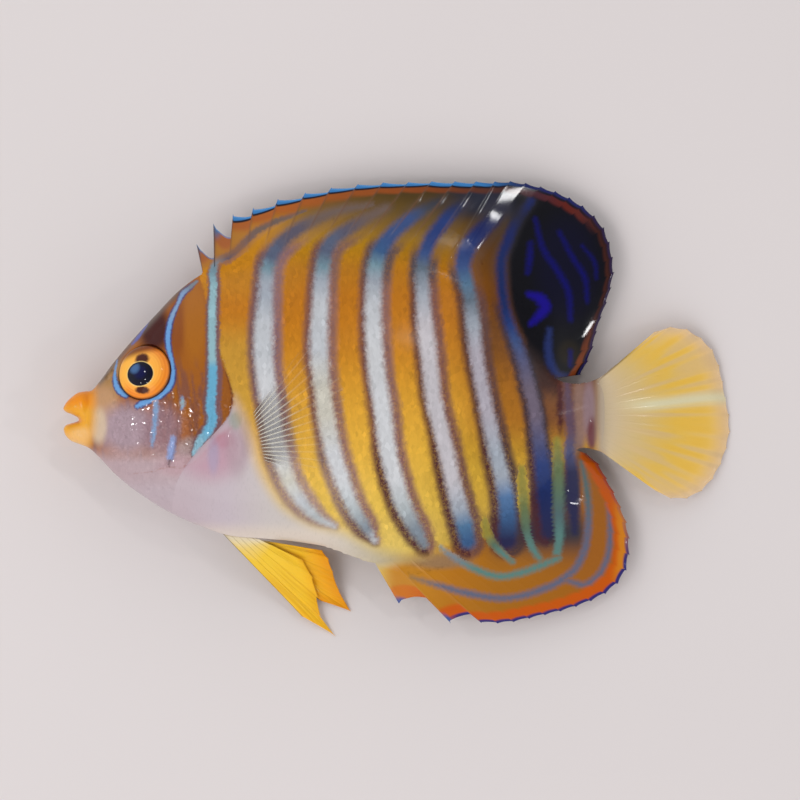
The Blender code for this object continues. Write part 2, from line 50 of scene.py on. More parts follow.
# The outline of the flesh, head to tail: the back with the dorsal fin's base, the belly with the anal fin's.
BACK = [(-46.2, 1.75), (-45.4, 2.3), (-44.4, 2.5), (-43.5, 2.6), (-42.5, 3.65), (-40.6, 6.2), (-37.6, 9.8),
        (-34.0, 13.7), (-31.0, 16.8), (-28.0, 19.0), (-24.0, 20.8), (-19.0, 22.4), (-12.0, 23.5),
        (-5.0, 23.7), (1.0, 22.7), (6.5, 20.5), (11.0, 17.4), (15.0, 13.5), (18.5, 9.2), (21.0, 5.9),
        (22.8, 4.0), (25.0, 3.5), (28.4, 4.3), (31.0, 6.3)]
BELLY = [(-46.3, -4.55), (-45.1, -5.0), (-43.8, -5.55), (-42.4, -6.8), (-40.0, -9.3), (-36.0, -12.4),
         (-32.0, -14.8), (-28.0, -16.6), (-24.0, -17.9), (-18.7, -18.4), (-14.0, -18.9), (-10.0, -19.6),
         (-6.5, -20.8), (-3.4, -21.8), (0.0, -21.3), (5.0, -20.3), (10.0, -18.9), (14.0, -16.9),
         (18.0, -14.0), (21.5, -10.6), (24.0, -7.4), (25.8, -5.6), (28.4, -5.9), (31.0, -7.2)]
# The front of the lips, from the lower one's chin to the upper one's top, as (height y, place x).
LIPS = [(-4.55, -46.3), (-4.1, -46.85), (-3.4, -47.3), (-2.8, -47.4), (-2.35, -47.15), (-2.05, -46.4),
        (-1.85, -45.7), (-1.6, -45.3), (-1.3, -45.35), (-1.0, -45.75), (-0.7, -46.4), (-0.4, -47.1),
        (0.0, -47.45), (0.6, -47.25), (1.2, -46.8), (1.75, -46.2)]
# Two edges on the side of the head, each as (height y, place x), from the belly up.
GILL_EDGE = [(-14.8, -32.0), (-11.0, -31.4), (-8.6, -30.3), (-6.8, -29.0), (-4.8, -27.2), (-2.8, -25.3),
             (-0.8, -23.75), (1.3, -23.3), (3.2, -23.55), (5.4, -24.3), (9.0, -25.5), (14.0, -26.8),
             (19.0, -28.1)]
CHEEK_EDGE = [(-10.2, -38.8), (-9.3, -37.2), (-8.7, -35.2), (-8.0, -33.0), (-6.8, -31.9), (-4.0, -31.3),
              (0.0, -31.1), (5.0, -31.4), (10.0, -32.2), (14.6, -33.1)]
LIP_CREASE = [(-44.1, 2.6), (-43.8, 1.2), (-44.2, -0.4), (-44.5, -1.6)]
FLESH_REAR = 31.0  # the skin runs out on the tail fin here

HALF_WIDTH = [(-48.0, 1.6), (-44.0, 2.7), (-40.0, 4.3), (-36.0, 5.6), (-32.0, 6.4), (-28.0, 6.9),
              (-22.0, 7.2), (-12.0, 7.15), (-2.0, 6.6), (8.0, 5.5), (16.0, 4.2), (22.0, 3.0), (28.5, 2.0),
              (31.0, 1.4)]
WIDEST_AT = 0.46  # height of the widest line, as a share of the depth from belly to back
ROUNDNESS = 2.3
FIN_BASE = 0.85  # half-thickness where the dorsal and anal fins grow out
PELVIC_BASE = 1.1
FILLET = 1.2  # width of the soft join between flank and fin
LIP_WIDTH, LIP_ROUNDING = 2.2, 1.35
COVER_RISE, COVER_REACH = 0.22, 10.0
CHEEK_RISE, CHEEK_REACH = 0.1, 5.0
SHOULDER_PAD = (-22.1, -3.7, 1.6, 3.6, 0.55)  # centre, half-sizes and height
NOSTRILS = [(-41.1, 4.5, 0.36), (-40.3, 5.4, 0.3)]
CHEEK_SPINE = [(-31.5, -3.6), (-31.8, -5.4), (-32.4, -8.1)]
SCALE_DEPTH = 0.06  # the skin lies this far inside the solids, and the scales reach their surface

MID_HEIGHT, HEAD_LIFT, SNOUT_SAG, STALK_SAG = 6.35, 0.65, 0.9, 0.9
STALK_REAR = 28.1
UNDER_FIN = (-14.0, -0.4, 9.0, 11.2, 1.2)  # where the right pectoral fin is pressed under the flank

EYE_CENTRE, EYE_RADIUS, EYE_DEPTH, EYE_STANDS_OUT = (-35.9, 5.3), 4.05, 2.15, 1.15
IRIS_RADIUS = 3.88  # what the skin leaves free
FAR = 9.0  # more than any distance that the shader reads from a light line

rng = np.random.default_rng(7)


def ease(value, start, end):
    """0 before start, 1 after end, and smooth between them."""
    t = np.clip((value - start) / (end - start), 0.0, 1.0)
    return t * t * (3 - 2 * t)


def mix(a, b, share):
    return a + (b - a) * share


def smooth_max(a, b, width):
    lap = np.maximum(width - np.abs(a - b), 0) / width
    return np.maximum(a, b) + lap * lap * width / 4


def bell(value, width):
    return np.exp(-((value / width) ** 2))


def tone(code):
    """The scene's linear colour of a web colour."""
    channels = np.array([int(code[k:k + 2], 16) / 255 for k in (1, 3, 5)])
    return np.where(channels <= 0.04045, channels / 12.92, ((channels + 0.055) / 1.055) ** 2.4)


class Curve:
    """A smooth curve through a few points, sampled finely and measured along its length."""

    def __init__(self, points, steps=12):
        points = np.array(points, float)
        knots = np.concatenate([[0], np.cumsum(np.linalg.norm(np.diff(points, axis=0), axis=1))])
        slopes = np.gradient(points, knots, axis=0)
        t = (np.arange(steps) / steps)[:, None]
        fine = []
        for k in range(len(points) - 1):
            length = knots[k + 1] - knots[k]
            fine.append((2 * t**3 - 3 * t**2 + 1) * points[k] + (t**3 - 2 * t**2 + t) * length * slopes[k]
                        + (3 * t**2 - 2 * t**3) * points[k + 1] + (t**3 - t**2) * length * slopes[k + 1])
        self.fine = np.concatenate(fine + [points[-1:]])
        along = np.concatenate([[0], np.cumsum(np.linalg.norm(np.diff(self.fine, axis=0), axis=1))])
        self.length = along[-1]
        self.share = along / along[-1]
        self.knots = self.share[::steps]

    def at(self, share):
        return np.stack([np.interp(share, self.share, self.fine[:, k]) for k in (0, 1)], -1)

    def second_at(self, first):
        return np.interp(first, self.fine[:, 0], self.fine[:, 1])

    def share_at(self, first):
        return np.interp(first, self.fine[:, 0], self.share)

    def near(self, x, y, reach):
        """Distance to each point, above 0 on the left, endless past reach, and the share along the curve."""
        distance = np.full(x.shape, np.inf)
        share = np.zeros(x.shape)
        low, high = self.fine.min(0) - reach, self.fine.max(0) + reach
        close = np.nonzero((x > low[0]) & (x < high[0]) & (y > low[1]) & (y < high[1]))[0]
        px, py = x[close], y[close]
        best = np.full(px.shape, np.inf)
        where = np.zeros(px.shape)
        side = np.ones(px.shape)
        for k in range(len(self.fine) - 1):
            a, run = self.fine[k], self.fine[k + 1] - self.fine[k]
            rx, ry = px - a[0], py - a[1]
            t = np.clip((rx * run[0] + ry * run[1]) / (run @ run), 0, 1)
            gap = (rx - t * run[0]) ** 2 + (ry - t * run[1]) ** 2
            better = gap < best
            best[better] = gap[better]
            where[better] = mix(self.share[k], self.share[k + 1], t[better])
            side[better] = np.where(run[0] * ry - run[1] * rx >= 0, 1, -1)[better]
        distance[close] = np.sqrt(best) * side
        share[close] = where
        return distance, share


back, belly, width_at = Curve(BACK, 24), Curve(BELLY, 24), Curve(HALF_WIDTH, 24)
lips, gill, cheek = Curve(LIPS, 24), Curve(GILL_EDGE, 24), Curve(CHEEK_EDGE, 24)
snout = Curve(BELLY[3::-1] + [(x, y) for y, x in LIPS[1:-1]] + BACK[:5], 12)
lip_crease, cheek_spine = Curve(LIP_CREASE), Curve(CHEEK_SPINE)


def value_noise(x, y, pitch, seed):
    """Smooth noise from 0 to 1 with one random value every pitch millimetres."""
    table = np.random.default_rng(seed).random((256, 256))
    gx, gy = x / pitch + 1000, y / pitch + 1000
    ix, iy = np.floor(gx).astype(int), np.floor(gy).astype(int)
    fx, fy = ease(gx - ix, 0, 1), ease(gy - iy, 0, 1)
    ix, iy = ix % 255, iy % 255
    low = mix(table[ix, iy], table[ix + 1, iy], fx)
    high = mix(table[ix, iy + 1], table[ix + 1, iy + 1], fx)
    return mix(low, high, fy)


# The form of the flesh.


def middle(x):
    """Height of the flesh's middle surface over the floor."""
    return (MID_HEIGHT + HEAD_LIFT * ease(-x, 24, 35) - SNOUT_SAG * ease(-x, 34, 48)
            - STALK_SAG * ease(np.minimum(x, STALK_REAR), 4, 30))


def lens(x, y):
    """Half-thickness of the flank without its fins, 0 on the outline and below 0 outside it."""
    top, bottom = back.second_at(x), belly.second_at(x)
    widest = mix(bottom, top, WIDEST_AT)
    upper = y > widest
    height = np.where(upper, (y - widest) / (top - widest), (widest - y) / (widest - bottom))
    fall = np.where(upper, mix(0.55, 1.05, ease(x, -34, -22)), mix(0.55, 1.0, ease(x, -16, 4)))
    body = width_at.second_at(x) * (1 - np.clip(height, 0, 1) ** ROUNDNESS) ** fall
    return body - 6 * np.maximum(height - 1, 0)


def fin_root(x, y):
    """Half-thickness of the fin, if any, that grows from the nearer outline."""
    upper = y > mix(belly.second_at(x), back.second_at(x), WIDEST_AT)
    dorsal = FIN_BASE * ease(x, -29.5, -27.2) * (1 - 0.3 * ease(x, 22, 25))
    pelvic = PELVIC_BASE * ease(x, -27.1, -24.6) * (1 - ease(x, -18.2, -15.7))
    anal = FIN_BASE * ease(x, -5.2, -3.2) * (1 - 0.3 * ease(x, 24, 27))
    return np.where(upper, dorsal, np.maximum(pelvic, anal))


def body_half(x, y, out=0.0, membrane=0.1):
    """Half-thickness of flank and fin in one. out is the share of the fin's height, 0 on the flank."""
    root = fin_root(x, y)
    slab = mix(root, membrane, ease(out, 0, 0.7) * (root > membrane)) + 0.02
    half = smooth_max(lens(x, y), slab, FILLET * np.clip(root / FIN_BASE, 0.05, 1))
    jaw_gap, _ = snout.near(x, y, 3.0)
    rounding = np.clip(np.abs(jaw_gap) / LIP_ROUNDING, 0, 1)
    jaw = 0.02 + mix(LIP_WIDTH, 2.6, ease(x, -47, -43.5)) * (1 - (1 - rounding) ** 2) ** 0.5
    return np.where(x < -42, mix(jaw, half, ease(x, -45.0, -42.9)), half)


def relief(x, y):
    """How far the gill cover, cheek, cheek spine, lips, nostrils and fin root stand out of the plain lens."""
    side = ease(y, -9.6, -6.8) * (1 - ease(y, 6, 13))
    behind = x - gill.second_at(y)
    cover = (1 - ease(-behind, 2.0, COVER_REACH)) * (1 - 0.3 * bell(behind, 0.3)) * (behind <= 0.01)
    total = side * (COVER_RISE * cover - 0.05 * bell(behind - 0.1, 0.4) * (behind > 0.01))
    past = x - cheek.second_at(y)
    ridge = ease(past, -CHEEK_REACH, 0) * (1 - 0.25 * bell(past, 0.3)) * (past <= 0.01)
    total += side * (1 - ease(y, 3, 8)) * (CHEEK_RISE * ridge - 0.03 * bell(past - 0.1, 0.35) * (past > 0.01))
    centre_x, centre_y, half_x, half_y, height = SHOULDER_PAD
    total += height * (1 - ease(np.hypot((x - centre_x) / half_x, (y - centre_y) / half_y), 0.3, 1.0))
    for hole_x, hole_y, radius in NOSTRILS:
        away = np.hypot(x - hole_x, y - hole_y) / radius
        total += 0.1 * bell(away - 1.25, 0.3) - 0.55 * bell(away, 0.75)
    crease, _ = lip_crease.near(x, y, 1.2)
    total -= 0.16 * bell(crease, 0.22)
    spine, share = cheek_spine.near(x, y, 1.0)
    total += 0.42 * np.sqrt(np.clip(1 - (np.abs(spine) / mix(0.6, 0.12, share)) ** 2, 0, 1))
    return total


def low_limit(x, y):
    """How low the right flank may reach: the floor, or the top of the pectoral fin pressed under it."""
    centre_x, centre_y, half_x, half_y, height = UNDER_FIN
    away = np.hypot((x - centre_x) / half_x, (y - centre_y) / half_y)
    return height * (1 - ease(away, 1.0, 1.18))


def flank(x, y, side, lift=0.0, out=0.0, sag=0.0):
    """Height of the left (side 1) or right (side -1) flank's surface, lift above the skin."""
    half = body_half(x, y, out) - SCALE_DEPTH * ease(lens(x, y), 0, 0.5) + relief(x, y) + lift
    z = middle(x) - sag + side * half
    if side > 0:
        return z
    floor = low_limit(x, y) + SCALE_DEPTH
    return np.maximum(smooth_max(z + lift, floor, 0.4) - lift, 0.0)


# The fans of rays, for the two fins that carry on the flank's markings.


class Fan:
    """A fin's rays, from base points to tips, with the part of each ray that stands clear of the membrane."""

    def __init__(self, bases, tips, before=(), behind=(), usual=(0.25, 0.05)):
        self.bases, self.tips = np.array(bases, float), np.array(tips, float)
        count = len(self.bases)
        self.before = np.array(list(before) + [usual[0]] * (count - len(before)))
        self.behind = np.array(list(behind) + [usual[1]] * (count - len(behind)))
        self.lengths = np.linalg.norm(self.tips - self.bases, axis=1)

    def rim(self, place):
        """The rim's point, base point and ray length at a place along the fan, in rays."""
        k = np.minimum(np.floor(place + 1e-9).astype(int), len(self.bases) - 2)
        f = place - k
        base = mix(self.bases[k], self.bases[k + 1], f[:, None])
        start = 1 - self.behind[k] / self.lengths[k]
        end = 1 - self.before[k + 1] / self.lengths[k + 1]
        first = mix(self.bases[k], self.tips[k], start[:, None])
        last = mix(self.bases[k + 1], self.tips[k + 1], end[:, None])
        free = self.before[k + 1]
        rim = mix(first, last, (f ** np.where(free > 3, 0.6, 1.0))[:, None])
        sag = np.where(free > 0.3, 0.08 * free + 0.05, 0.12) * 4 * f * (1 - f)
        rim -= (rim - base) * (sag / np.linalg.norm(rim - base, axis=1))[:, None]
        for at, ray in ((f < 1e-6, k), (f > 1 - 1e-6, k + 1)):
            rim[at] = self.tips[ray][at]
        return rim, base, np.linalg.norm(rim - base, axis=1)

    def locate(self, x, y):
        """Place along the fan and share of the ray's length at points of the side view."""
        p = np.stack([x, y], -1)
        place = np.zeros(x.shape)
        out = np.full(x.shape, -1.0)
        rays = self.tips - self.bases
        cross = [r[0] * (p[:, 1] - b[1]) - r[1] * (p[:, 0] - b[0]) for b, r in zip(self.bases, rays)]
        for k in range(len(rays) - 1):
            between = (cross[k] * cross[k + 1] <= 0) & (cross[k] != cross[k + 1])
            f = cross[k][between] / (cross[k] - cross[k + 1])[between]
            base = mix(self.bases[k], self.bases[k + 1], f[:, None])
            tip = mix(self.tips[k], self.tips[k + 1], f[:, None])
            t = ((p[between] - base) * (tip - base)).sum(1) / ((tip - base) ** 2).sum(1)
            good = t > -0.3
            where = np.nonzero(between)[0][good]
            place[where] = k + f[good]
            out[where] = t[good]
        return place, out


DORSAL_SPINES = [(-28.6, 23.5), (-26.2, 26.4), (-23.4, 27.8), (-20.5, 28.7), (-17.0, 29.9), (-13.1, 30.8),
                 (-9.4, 31.5), (-5.6, 32.0), (-2.0, 32.25), (1.6, 32.3), (4.9, 32.4), (8.2, 32.4),
                 (11.2, 32.4), (13.9, 32.4)]
DORSAL_BEFORE = [2.0, 4.9, 3.4, 1.3, 1.0, 0.9, 0.75, 0.6, 0.5, 0.45, 0.4, 0.4, 0.4, 0.35]  # mm of free tip
DORSAL_BEHIND = [0.5, 0.5, 0.35, 0.35, 0.2, 0.15, 0.12, 0.1]
DORSAL_SOFT_RIM = [(13.9, 32.4), (16.4, 32.45), (20.0, 31.8), (24.0, 30.4), (27.4, 28.2), (29.7, 25.4),
                   (30.5, 22.6), (30.9, 20.0), (30.1, 16.0), (28.6, 11.8), (27.6, 7.8), (26.2, 4.9)]
DORSAL_BASE_ENDS, DORSAL_CROWDING, DORSAL_END, DORSAL_SAG = (-27.6, 6.8), 1.15, 22.3, 2.2
ANAL_SPINES = [(0.2, -27.7), (7.6, -30.5), (12.0, -30.5)]
ANAL_BEFORE = [4.0, 4.9, 2.0]
ANAL_BEHIND = [0.5, 0.4, 0.2]
ANAL_SOFT_RIM = [(12.0, -30.5), (15.4, -30.5), (20.0, -29.6), (26.0, -28.0), (30.0, -26.1), (32.3, -23.8),
                 (33.1, -20.5), (32.9, -17.0), (31.4, -12.9), (29.8, -9.8), (28.4, -7.4), (27.1, -6.4)]
ANAL_BASE_ENDS, ANAL_END, ANAL_SAG = (-3.2, 1.6), 25.4, 2.6
SOFT_RAYS = 18


def unpaired_fan(path, ends, crowding, last, spines, soft_rim, before, behind):
    first, second = (path.share_at(x) for x in ends)
    shares = [mix(first, second, t**crowding) for t in np.linspace(0, 1, len(spines))]
    soft = np.arange(1, SOFT_RAYS + 1) / SOFT_RAYS
    shares += [mix(second, path.share_at(last), t) for t in soft]
    tips = [np.array(p) for p in spines] + list(Curve(soft_rim, 24).at(soft))
    return Fan([path.at(s) for s in shares], tips, before, behind)


dorsal_fan = unpaired_fan(back, DORSAL_BASE_ENDS, DORSAL_CROWDING, DORSAL_END, DORSAL_SPINES, DORSAL_SOFT_RIM,
                          DORSAL_BEFORE, DORSAL_BEHIND)
anal_fan = unpaired_fan(belly, ANAL_BASE_ENDS, 1.0, ANAL_END, ANAL_SPINES, ANAL_SOFT_RIM,
                        ANAL_BEFORE, ANAL_BEHIND)


# The markings. Each light line is a row of runs, a tint with its points (place x, height y, half-width). Its
# dark borders in front of it and behind it lie outside that.

TINTS = {"silver": "#BCBEC2", "white": "#C8C8CA", "cream": "#C8C3B6", "dull_silver": "#BEB8BC",
         "grey_silver": "#ACA5AE", "silver_blue": "#9EA4AE", "silver_teal": "#AEB4B6",
         "teal_grey": "#708C98", "dark_grey": "#5E6C7A", "teal": "#90B4BC", "cyan": "#66A6C4",
         "cyan_pale": "#86AEBE", "slate": "#78828C", "slate_blue": "#565E74", "steel_blue": "#3A4E7C",
         "blue_teal": "#52708A", "sky": "#4A6E90", "blue": "#3A5880", "deep_blue": "#243870",
         "sea_blue": "#4E709A", "navy": "#1A2458", "night": "#1A2858", "ink_navy": "#262648",
         "haze": "#6A5850", "haze_blue": "#585260", "lilac": "#6C6070", "dark_lilac": "#4E5072",
         "purple": "#5E4858", "eye_blue": "#6698CE", "eye_grey": "#809CC0", "brow_blue": "#5A62A4",
         "lilac_blue": "#8C9CC8", "ultra": "#0A085C", "violet": "#14067C", "curl": "#202C5E",
         "mustard": "#8E8238", "olive_green": "#66724A", "sea_green": "#566C5A", "turquoise": "#557C76",
         "steel": "#5C6076", "steel_faint": "#8E7048", "teal_dark": "#4E6466", "rust": "#A07874",
         "red_pink": "#B0565A", "brown": "#6A3014", "ink": "#3A2A34", "haze_dark": "#444650"}
INK, INDIGO = [(0, "#3A2440")], [(0, "#3A3E72")]
# A border's colour from the head to the tail, in front of the light stripes and behind them
FRONT_BORDER = [(-21, "#6C4E54"), (-12, "#724842"), (-4, "#6C423C"), (4, "#5C362C"), (11, "#52322C"),
                (16, "#3A2A32"), (22, "#2C2432")]
REAR_BORDER = [(-26, "#705058"), (-17, "#84646A"), (-9, "#8A625A"), (-1, "#845E5A"), (6, "#7A5048"),
               (13, "#5C3E3A"), (19, "#302830")]

STRIPES = [
    [("haze", (-13, 28.2, 0.25), (-16.4, 27.0, 0.4), (-19.8, 25.4, 0.5)), ("haze_blue", (-21.6, 23.8, 0.5),
     (-22.9, 22.5, 0.5), (-24.3, 21.6, 0.5)), ("slate", (-25.7, 21.0, 0.45)),
     ("teal_grey", (-26.2, 19.5, 0.5)), ("teal", (-26.1, 17.5, 0.52), (-26.2, 14, 0.54), (-26.2, 10, 0.55),
     (-26.15, 7, 0.55)), ("cyan", (-26.1, 5.9, 0.64), (-26.15, 3, 0.66), (-26.35, 0, 0.68),
     (-26.1, -1.5, 0.66), (-26.8, -3.2, 0.6)), ("cyan_pale", (-27.9, -4.6, 0.6), (-28.6, -6.3, 0.4))],
    [("haze", (-3.6, 29.0, 0.35), (-8.2, 28.2, 0.6), (-11.6, 26.9, 0.85)), ("haze_blue", (-14, 25.6, 0.95),
     (-15.9, 24.2, 1.0)), ("slate_blue", (-17.2, 22.8, 1.0), (-17.9, 21.6, 1.0)),
     ("teal_grey", (-18.4, 20, 1.0)), ("silver_blue", (-18.6, 18, 1.0), (-18.7, 16, 1.05)),
     ("silver", (-18.9, 12, 1.3), (-18.9, 8, 1.35)), ("white", (-18.6, 4, 1.3), (-17.9, 0, 1.3)),
     ("silver", (-17.5, -3, 1.25)), ("white", (-16.6, -6.5, 1.2)), ("cream", (-15.4, -10, 1.0)),
     ("silver", (-13.6, -13, 0.85)), ("silver_teal", (-11.4, -15.3, 0.6)), ("silver", (-9.0, -16.6, 0.35))],
    [("haze", (-1.6, 28.6, 0.5), (-4.2, 27.2, 0.8)), ("haze_blue", (-7.2, 25.4, 0.95)),
     ("slate_blue", (-9.2, 24, 0.95), (-10.2, 22.3, 1.0)), ("teal_grey", (-10.6, 20.2, 1.0)),
     ("silver_blue", (-10.8, 18, 1.05)), ("silver", (-10.9, 15, 1.15), (-11.1, 8, 1.3)),
     ("cream", (-10.6, 3, 1.15), (-10.1, -1, 1.2)), ("white", (-9.1, -6, 1.15), (-7.8, -10, 1.05)),
     ("silver_teal", (-6.2, -14, 0.9)), ("slate", (-4.3, -17, 0.7)), ("silver", (-3.2, -18.6, 0.4))],
    [("haze_dark", (6, 29.6, 0.4), (4.2, 28.6, 0.7)), ("steel_blue", (1.8, 27, 0.9), (-1.1, 24.4, 1.05)),
     ("blue", (-2.5, 22.4, 1.1)), ("teal_grey", (-3.1, 20.4, 1.1)), ("silver_blue", (-3.3, 18, 1.1)),
     ("silver", (-3.45, 15, 1.15)), ("white", (-3.2, 8, 1.2), (-2.6, 3, 1.2), (-2.1, 0, 1.25),
     (-1.5, -5, 1.2), (-0.3, -10, 1.15)), ("silver_teal", (1.0, -14, 1.1)), ("slate", (2.6, -17, 1.0),
     (3.8, -19.2, 0.6))],
    [("deep_blue", (9.5, 29.4, 0.4), (7.4, 27.6, 0.9), (6.0, 25.8, 0.95), (4.7, 24, 1.0)),
     ("steel_blue", (3.9, 22, 0.95)), ("dark_grey", (3.5, 20, 0.9)), ("silver_blue", (3.6, 16.5, 0.95)),
     ("dull_silver", (3.9, 12, 1.15), (4.4, 8, 1.15), (5.2, 1, 1.1), (5.9, -2, 1.1), (6.9, -6, 1.1),
     (7.8, -10, 1.1)), ("silver_blue", (8.8, -14, 1.15)), ("sky", (9.5, -16.5, 1.2)),
     ("blue", (10.0, -18.8, 1.1))],
    [("navy", (15.4, 29.8, 0.4), (13.8, 27.2, 1.0), (11.8, 25.2, 1.15)), ("deep_blue", (9.8, 22.5, 1.2)),
     ("steel_blue", (9.3, 20.3, 1.1)), ("blue_teal", (9.8, 17.8, 1.0)), ("dark_grey", (10.3, 15.5, 0.95)),
     ("silver_blue", (10.7, 12, 1.0)), ("grey_silver", (11.1, 8, 0.95), (12.0, 3, 0.92), (12.8, -1, 0.98)),
     ("silver_blue", (13.9, -6, 1.0), (14.8, -9.5, 1.05)), ("sea_blue", (15.4, -12.5, 1.15)),
     ("blue", (15.7, -15.5, 1.25)), ("ink_navy", (15.6, -18.6, 1.3))],
    [("navy", (19, 29.6, 0.5), (17, 27, 0.65), (15.7, 24, 0.7)), ("night", (14.8, 21.5, 0.7),
     (14.8, 18, 0.7), (15.2, 14.5, 0.7)), ("deep_blue", (15.9, 12, 0.7)),
     ("steel_blue", (16.8, 9.5, 0.75)), ("dark_lilac", (17.7, 7, 0.8)), ("lilac", (18.7, 3, 0.9),
     (19.6, -1, 0.95)), ("dark_lilac", (20.1, -5, 1.0)), ("deep_blue", (20.6, -8, 1.15)),
     ("night", (21.0, -12, 1.2)), ("ink_navy", (21.4, -17.5, 0.9))],
]
# Lines without the stripes' wide borders: on the stalk and in the two fins.
FIN_LINES = [
    [("purple", (24.1, 3.9, 0.5), (24.3, 0, 0.7), (24.6, -3.5, 0.7)), ("dark_lilac", (24.4, -6, 0.8)),
     ("ink_navy", (24.8, -9, 0.9), (25.0, -14, 0.8), (25.2, -17.5, 0.4))],
    [("mustard", (17.6, -8.5, 0.6), (17.8, -11.5, 0.8)), ("olive_green", (18.0, -14, 0.8)),
     ("sea_green", (18.3, -17, 0.65)), ("turquoise", (18.9, -19.2, 0.55), (20.2, -21.3, 0.4))],
    [("mustard", (22.6, -4.5, 0.6)), ("olive_green", (22.8, -8, 0.8)), ("sea_green", (22.9, -12, 0.8)),
     ("teal_dark", (22.9, -15, 0.75)), ("turquoise", (23.0, -18, 0.65), (22.6, -21.2, 0.5))],
    [("teal_dark", (26.2, -7.6, 0.3), (27.0, -12, 0.5)), ("steel", (27.1, -17, 0.5), (26.5, -20.4, 0.5),
     (25.4, -22.5, 0.5), (23.4, -24.3, 0.5), (20.5, -25.7, 0.5), (15.5, -26.9, 0.45), (10, -26.2, 0.5),
     (6, -25.1, 0.38)), ("steel_faint", (2, -23.9, 0.25))],
    [("steel", (30.1, -13.5, 0.35), (30.3, -17, 0.42), (29.9, -21, 0.42), (28.9, -23.3, 0.42),
     (26.6, -25.0, 0.4), (24.2, -24.4, 0.35))],
    [("teal_grey", (6.0, -19.6, 0.2)), ("slate", (8, -21.0, 0.45)), ("turquoise", (11, -22.7, 0.5),
     (14.5, -23.8, 0.5), (17.5, -23.3, 0.5), (20.5, -22.2, 0.5), (22.9, -21.2, 0.4))],
    [("mustard", (12.4, -15.8, 0.5), (12.8, -17.8, 0.7)), ("sea_green", (13.6, -19.2, 0.6)),
     ("turquoise", (14.8, -20.4, 0.5), (16.4, -21.7, 0.35))],
    [("ultra", (18.9, 23.6, 0.3), (18.8, 21.5, 0.45), (18.5, 19.4, 0.3))],
    [("ultra", (19.6, 27, 0.25), (20.8, 22.6, 0.36), (22.6, 19.9, 0.42), (24.2, 17.0, 0.42),
     (24.6, 12.7, 0.3))],
    [("ultra", (23, 25.2, 0.2), (25, 21.4, 0.32), (26.6, 18.8, 0.34), (27.0, 15.3, 0.2))],
    [("ultra", (26.3, 23.2, 0.12), (28.1, 20.7, 0.2), (28.3, 18.6, 0.12))],
    [("violet", (18.7, 16.3, 0.4), (20.2, 15.7, 0.75), (21.0, 14.6, 0.8), (20.0, 13.1, 0.6),
     (19.0, 12.1, 0.35))],
    [("curl", (21.6, 11.2, 0.4), (21.4, 8.5, 0.6), (21.8, 6.4, 0.6), (22.9, 4.9, 0.4), (24.6, 4.8, 0.2))],
    [("ultra", (24.6, 8.2, 0.25), (24.6, 6.2, 0.25))],
]
HEAD_LINES = [
    [("eye_blue", (-39.75, 6.9, 0.08), (-40.0, 5.4, 0.18), (-39.95, 3.9, 0.28), (-39.35, 2.6, 0.38),
     (-38.4, 1.9, 0.28))],
    [("slate", (-28.5, 18.1, 0.2), (-29.4, 17.3, 0.26)), ("eye_grey", (-30.4, 16.4, 0.3),
     (-31.1, 14.9, 0.22), (-31.8, 13.4, 0.29)), ("eye_blue", (-32.3, 11.6, 0.3), (-32.45, 9.6, 0.32),
     (-32.2, 8.1, 0.27), (-31.85, 6.8, 0.24), (-31.65, 5.2, 0.27), (-31.95, 3.5, 0.32),
     (-32.95, 2.3, 0.34), (-34.3, 1.45, 0.36), (-35.8, 0.9, 0.38), (-36.9, 0.3, 0.24))],
    [("brow_blue", (-35.2, 12.6, 0.08), (-35.8, 11.6, 0.15), (-36.4, 10.7, 0.2), (-37.0, 9.9, 0.22),
     (-37.6, 9.2, 0.12))],
]
SOFT_LINES = [
    [("eye_grey", (-34.1, 0.9, 0.34), (-34.2, -1.5, 0.36), (-34.5, -4, 0.3), (-34.7, -5.3, 0.14))],
    [("eye_grey", (-30.4, 1.7, 0.18)), ("teal", (-30.35, 0.9, 0.32)), ("eye_grey", (-30.4, 0, 0.22))],
    [("lilac_blue", (-31.7, -4.1, 0.4), (-31.9, -5.6, 0.55), (-32.1, -6.9, 0.45))],
    [("ink", (-32.2, -7.3, 0.08), (-32.35, -7.9, 0.06))],
    [("red_pink", (-29.2, -8.0, 0.1), (-27.2, -6.2, 0.2), (-25.3, -4.2, 0.28), (-23.3, -2.5, 0.14))],
]
THIN_LINES = [
    [("rust", (-37.4, -9.2, 0.02), (-34.5, -8.75, 0.04), (-32.4, -8.2, 0.06), (-30.5, -8.25, 0.08)),
     ("red_pink", (-28.9, -7.7, 0.1))],
    [("brown", (-23.75, -0.9, 0.08), (-23.35, 1.3, 0.12), (-23.6, 3.2, 0.1), (-24.35, 5.4, 0.06))],
]
# Lines of one kind: softness of the edge, front and rear border widths, and those borders' tints
MARK_KINDS = [(STRIPES[:1], 0.26, 0.5, 0.8, FRONT_BORDER, REAR_BORDER),
              (STRIPES[1:6], 0.6, 0.95, 1.3, FRONT_BORDER, REAR_BORDER),
              (STRIPES[6:], 0.55, 0.8, 0.6, FRONT_BORDER, REAR_BORDER), (FIN_LINES, 0.5, 0.0, 0.0, INK, INK),
              (HEAD_LINES, 0.14, 0.2, 0.2, INDIGO, INDIGO), (SOFT_LINES, 0.3, 0.0, 0.0, INK, INK),
              (THIN_LINES, 0.16, 0.0, 0.0, INK, INK)]
MARK_REACH = 3.4


def inside(points, x, y, softness):
    """1 well inside a closed outline, 0 well outside, and soft across it."""
    ring = Curve(points + points[:1], 6)
    odd = np.zeros(x.shape, bool)
    for (ax, ay), (bx, by) in zip(ring.fine[:-1], ring.fine[1:]):
        if ay != by:
            odd ^= ((ay > y) != (by > y)) & (x < ax + (y - ay) * (bx - ax) / (by - ay))
    away, _ = ring.near(x, y, softness)
    depth = np.where(odd, 1, -1) * np.abs(away)
    return ease(depth, -softness, softness)


